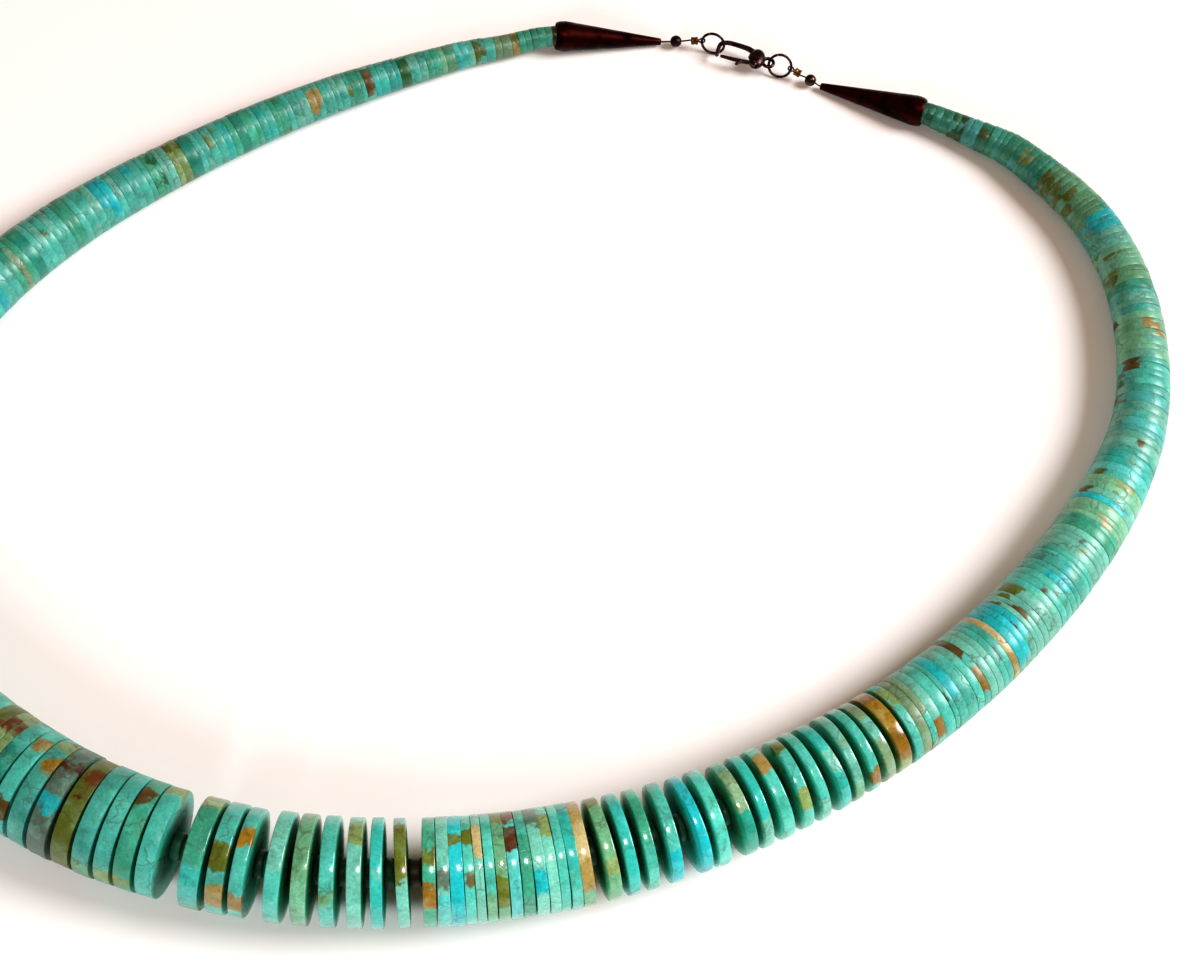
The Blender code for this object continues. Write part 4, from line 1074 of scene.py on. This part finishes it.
def pivotRod(length, radius, sides):
    # a round rod of that length along the pivot's axis
    return sweptTube([(*clasp["pivot"], -length / 2), (*clasp["pivot"], length / 2)], radius, sides)


def makeClaspBody(hole):
    # rows of the arm are (U, V, radius), as shares of the base, the hook's reach and the arm's wire
    back, far, thick = clasp["base"][0], clasp["base"][1] / 2, clasp["arm"] / 2
    reach = -hook["point"][0] / mm
    nose = reach + ring["wire"] / mm / 2 + thick + clasp["pinRoom"]
    arm = [
        (back * 0.45, far * 0.62, thick * 1.25), (back * 0.08, far * 0.85, thick * 1.1),
        (-reach * 0.35, far * 0.94, thick), (-reach * 0.85, far * 0.94, thick * 0.95),
        (-nose * 0.96, far * 0.66, thick * 0.88), (-nose, far * 0.06, thick * 0.82),
        (-nose * 0.98, -far * 0.60, thick * 0.74),
    ]
    angle = np.linspace(0, 2 * math.pi, 48, endpoint=False)
    centre, radius = tailEye["centre"] / mm, tailEye["radius"] / mm
    eyePath = np.column_stack([centre + radius * np.cos(angle), radius * np.sin(angle), 0 * angle])
    eye = sweptTube(eyePath, tailEye["wire"] / mm / 2, 20, closed=True)
    high = clasp["thickness"] / 2 + clasp["slotRoom"]
    slotEnd = clasp["pivot"][0] + clasp["knuckle"] / 2 + clasp["slotRoom"]
    slotTop = clasp["pivot"][1] + clasp["knuckle"] * 0.8
    slot = boxPoints((-back * 0.2, -clasp["base"][1], -high), (slotEnd, slotTop, high))
    parts = [ellipsoid((*clasp["baseCentre"], 0), clasp["base"]), roundBar(arm), eye]
    fusedPiece("lobster_body", parts, [slot, hole(6)], "necklace", "clasp_body")


def makeLever(hole):
    # knuckle on the pin, gate up to the hook's nose, and the stub that a thumb pulls
    pivot, thick = clasp["pivot"], clasp["thickness"] / 2
    tip = hook["point"][0] / mm - clasp["slotRoom"]
    gate = roundBar([(*pivot, thick * 0.92), (*clasp["gateBend"], thick * 0.88),
                     (tip + thick * 0.68, clasp["gateTip"], thick * 0.68)])
    stub = roundBar([(*clasp["stub"][0], thick * 0.75), (*clasp["stub"][1], thick * 0.6)])
    knuckle = pivotRod(2 * thick, clasp["knuckle"] / 2, 36)
    fusedPiece("sprung_lever", [knuckle, gate, stub], [hole(3)], "lever", "clasp_lever")


def makePin():
    half, radius = clasp["pinLength"] / 2 * mm, clasp["pin"] / 2 * mm
    rim = [(radius * inward, half * height) for inward, height in clasp["pinRim"]]
    rim += [(inward, -height) for inward, height in rim[::-1]]
    centre = np.array(claspFrame @ Vector((clasp["pivot"][0] * mm, clasp["pivot"][1] * mm, 0)))
    metalPiece("rivet_pin", turnedSurface(rim, 28, centre, (0, 0, 1)), gunmetal, "clasp_pin")


def pinHole(length):
    return pivotRod(length, clasp["pin"] / 2 + clasp["pinRoom"], 28)


makeClaspBody(pinHole)
makeLever(pinHole)
makePin()
print("clasp made")


# Camera, floor and light
camera = {
    "place": (0.0114, -0.1242, 0.2309), "lens": 60.0, "sensor": 36.0, "clip": (0.01, 20.0),
    "right": (0.9940, 0.0972, 0.0498), "down": (0.1093, -0.8847, -0.4532), "forward": (0.0, 0.4559, -0.8900),
}
floor = {
    "reach": 2.5, "roughness": 0.65, "specular": 0.2, "paperScale": 60.0,
    "tints": ((0.86, 0.85, 0.85, 1.0), (0.90, 0.895, 0.89, 1.0)),
}
lights = {
    "window": {"place": (0.85, 0.16, 0.70), "target": (0, 0, 0), "size": 0.60, "power": 15.0,
               "colour": (1.0, 0.985, 1.0)},
    "spark": {"place": (0.10, -0.17, 0.62), "target": (0, -0.04, 0), "size": 0.080, "power": 0.85,
              "colour": (1, 0.96, 0.90), "spread": False},
    "fill": {"place": (-0.12, -0.26, 0.16), "target": (-0.05, -0.07, 0), "size": 0.14, "power": 0.50,
             "colour": (0.86, 0.94, 1.0), "mirrored": False},
}
room = {"Color": (1.0, 0.56, 0.32, 1.0), "Strength": 0.31}


def makeCamera():
    data = bpy.data.cameras.new("view")
    data.lens, data.sensor_width, data.sensor_fit = camera["lens"], camera["sensor"], "HORIZONTAL"
    data.clip_start, data.clip_end = camera["clip"]
    item = bpy.data.objects.new("view", data)
    # Blender's camera looks down its own -Z with Y up
    columns = [Vector(camera["right"]), -Vector(camera["down"]), -Vector(camera["forward"])]
    turn = Matrix(columns).transposed().to_quaternion().to_matrix().to_4x4()
    turn.translation = camera["place"]
    item.matrix_world = turn
    scene.collection.objects.link(item)
    scene.camera = item


def makeFloor():
    # a wide flat square of matt paper with a faint mottle
    material, tree, shader = newMaterial("paleFloor", Roughness=floor["roughness"],
                                         Specular_IOR_Level=floor["specular"])
    place = tree.nodes.new("ShaderNodeTexCoord").outputs["Object"]
    paper = noiseNode(tree, place, floor["paperScale"], 4.0, 0.5)
    link(tree, mixNode(tree, paper, *floor["tints"]), shader.inputs["Base Color"])
    corners = np.array([(-1, -1, 0), (1, -1, 0), (1, 1, 0), (-1, 1, 0)]) * floor["reach"]
    mesh = newMesh("floor", corners, [[0, 1, 2, 3]])
    mesh.materials.append(material)
    item = bpy.data.objects.new("floor", mesh)
    scene.collection.objects.link(item)


def areaLight(name, place, target, size, power, colour, mirrored=True, spread=True):
    data = bpy.data.lights.new(name, "AREA")
    data.shape, data.size, data.energy, data.color = "DISK", size, power, colour
    item = bpy.data.objects.new(name, data)
    item.location = place
    item.rotation_euler = (Vector(target) - Vector(place)).to_track_quat("-Z", "Y").to_euler()
    item.visible_glossy = mirrored         # a light that isn't mirrored makes no highlights
    item.visible_diffuse = spread          # and one that isn't spread makes nothing else
    scene.collection.objects.link(item)


makeCamera()
makeFloor()
for name, values in lights.items():
    areaLight(name, **values)
world = bpy.data.worlds.new("softRoom")
world.use_nodes = True
for name, value in room.items():
    world.node_tree.nodes["Background"].inputs[name].default_value = value
scene.world = world
scene.view_settings.view_transform = "Standard"
scene.view_settings.look = "Medium High Contrast"
print("camera, floor and light set")
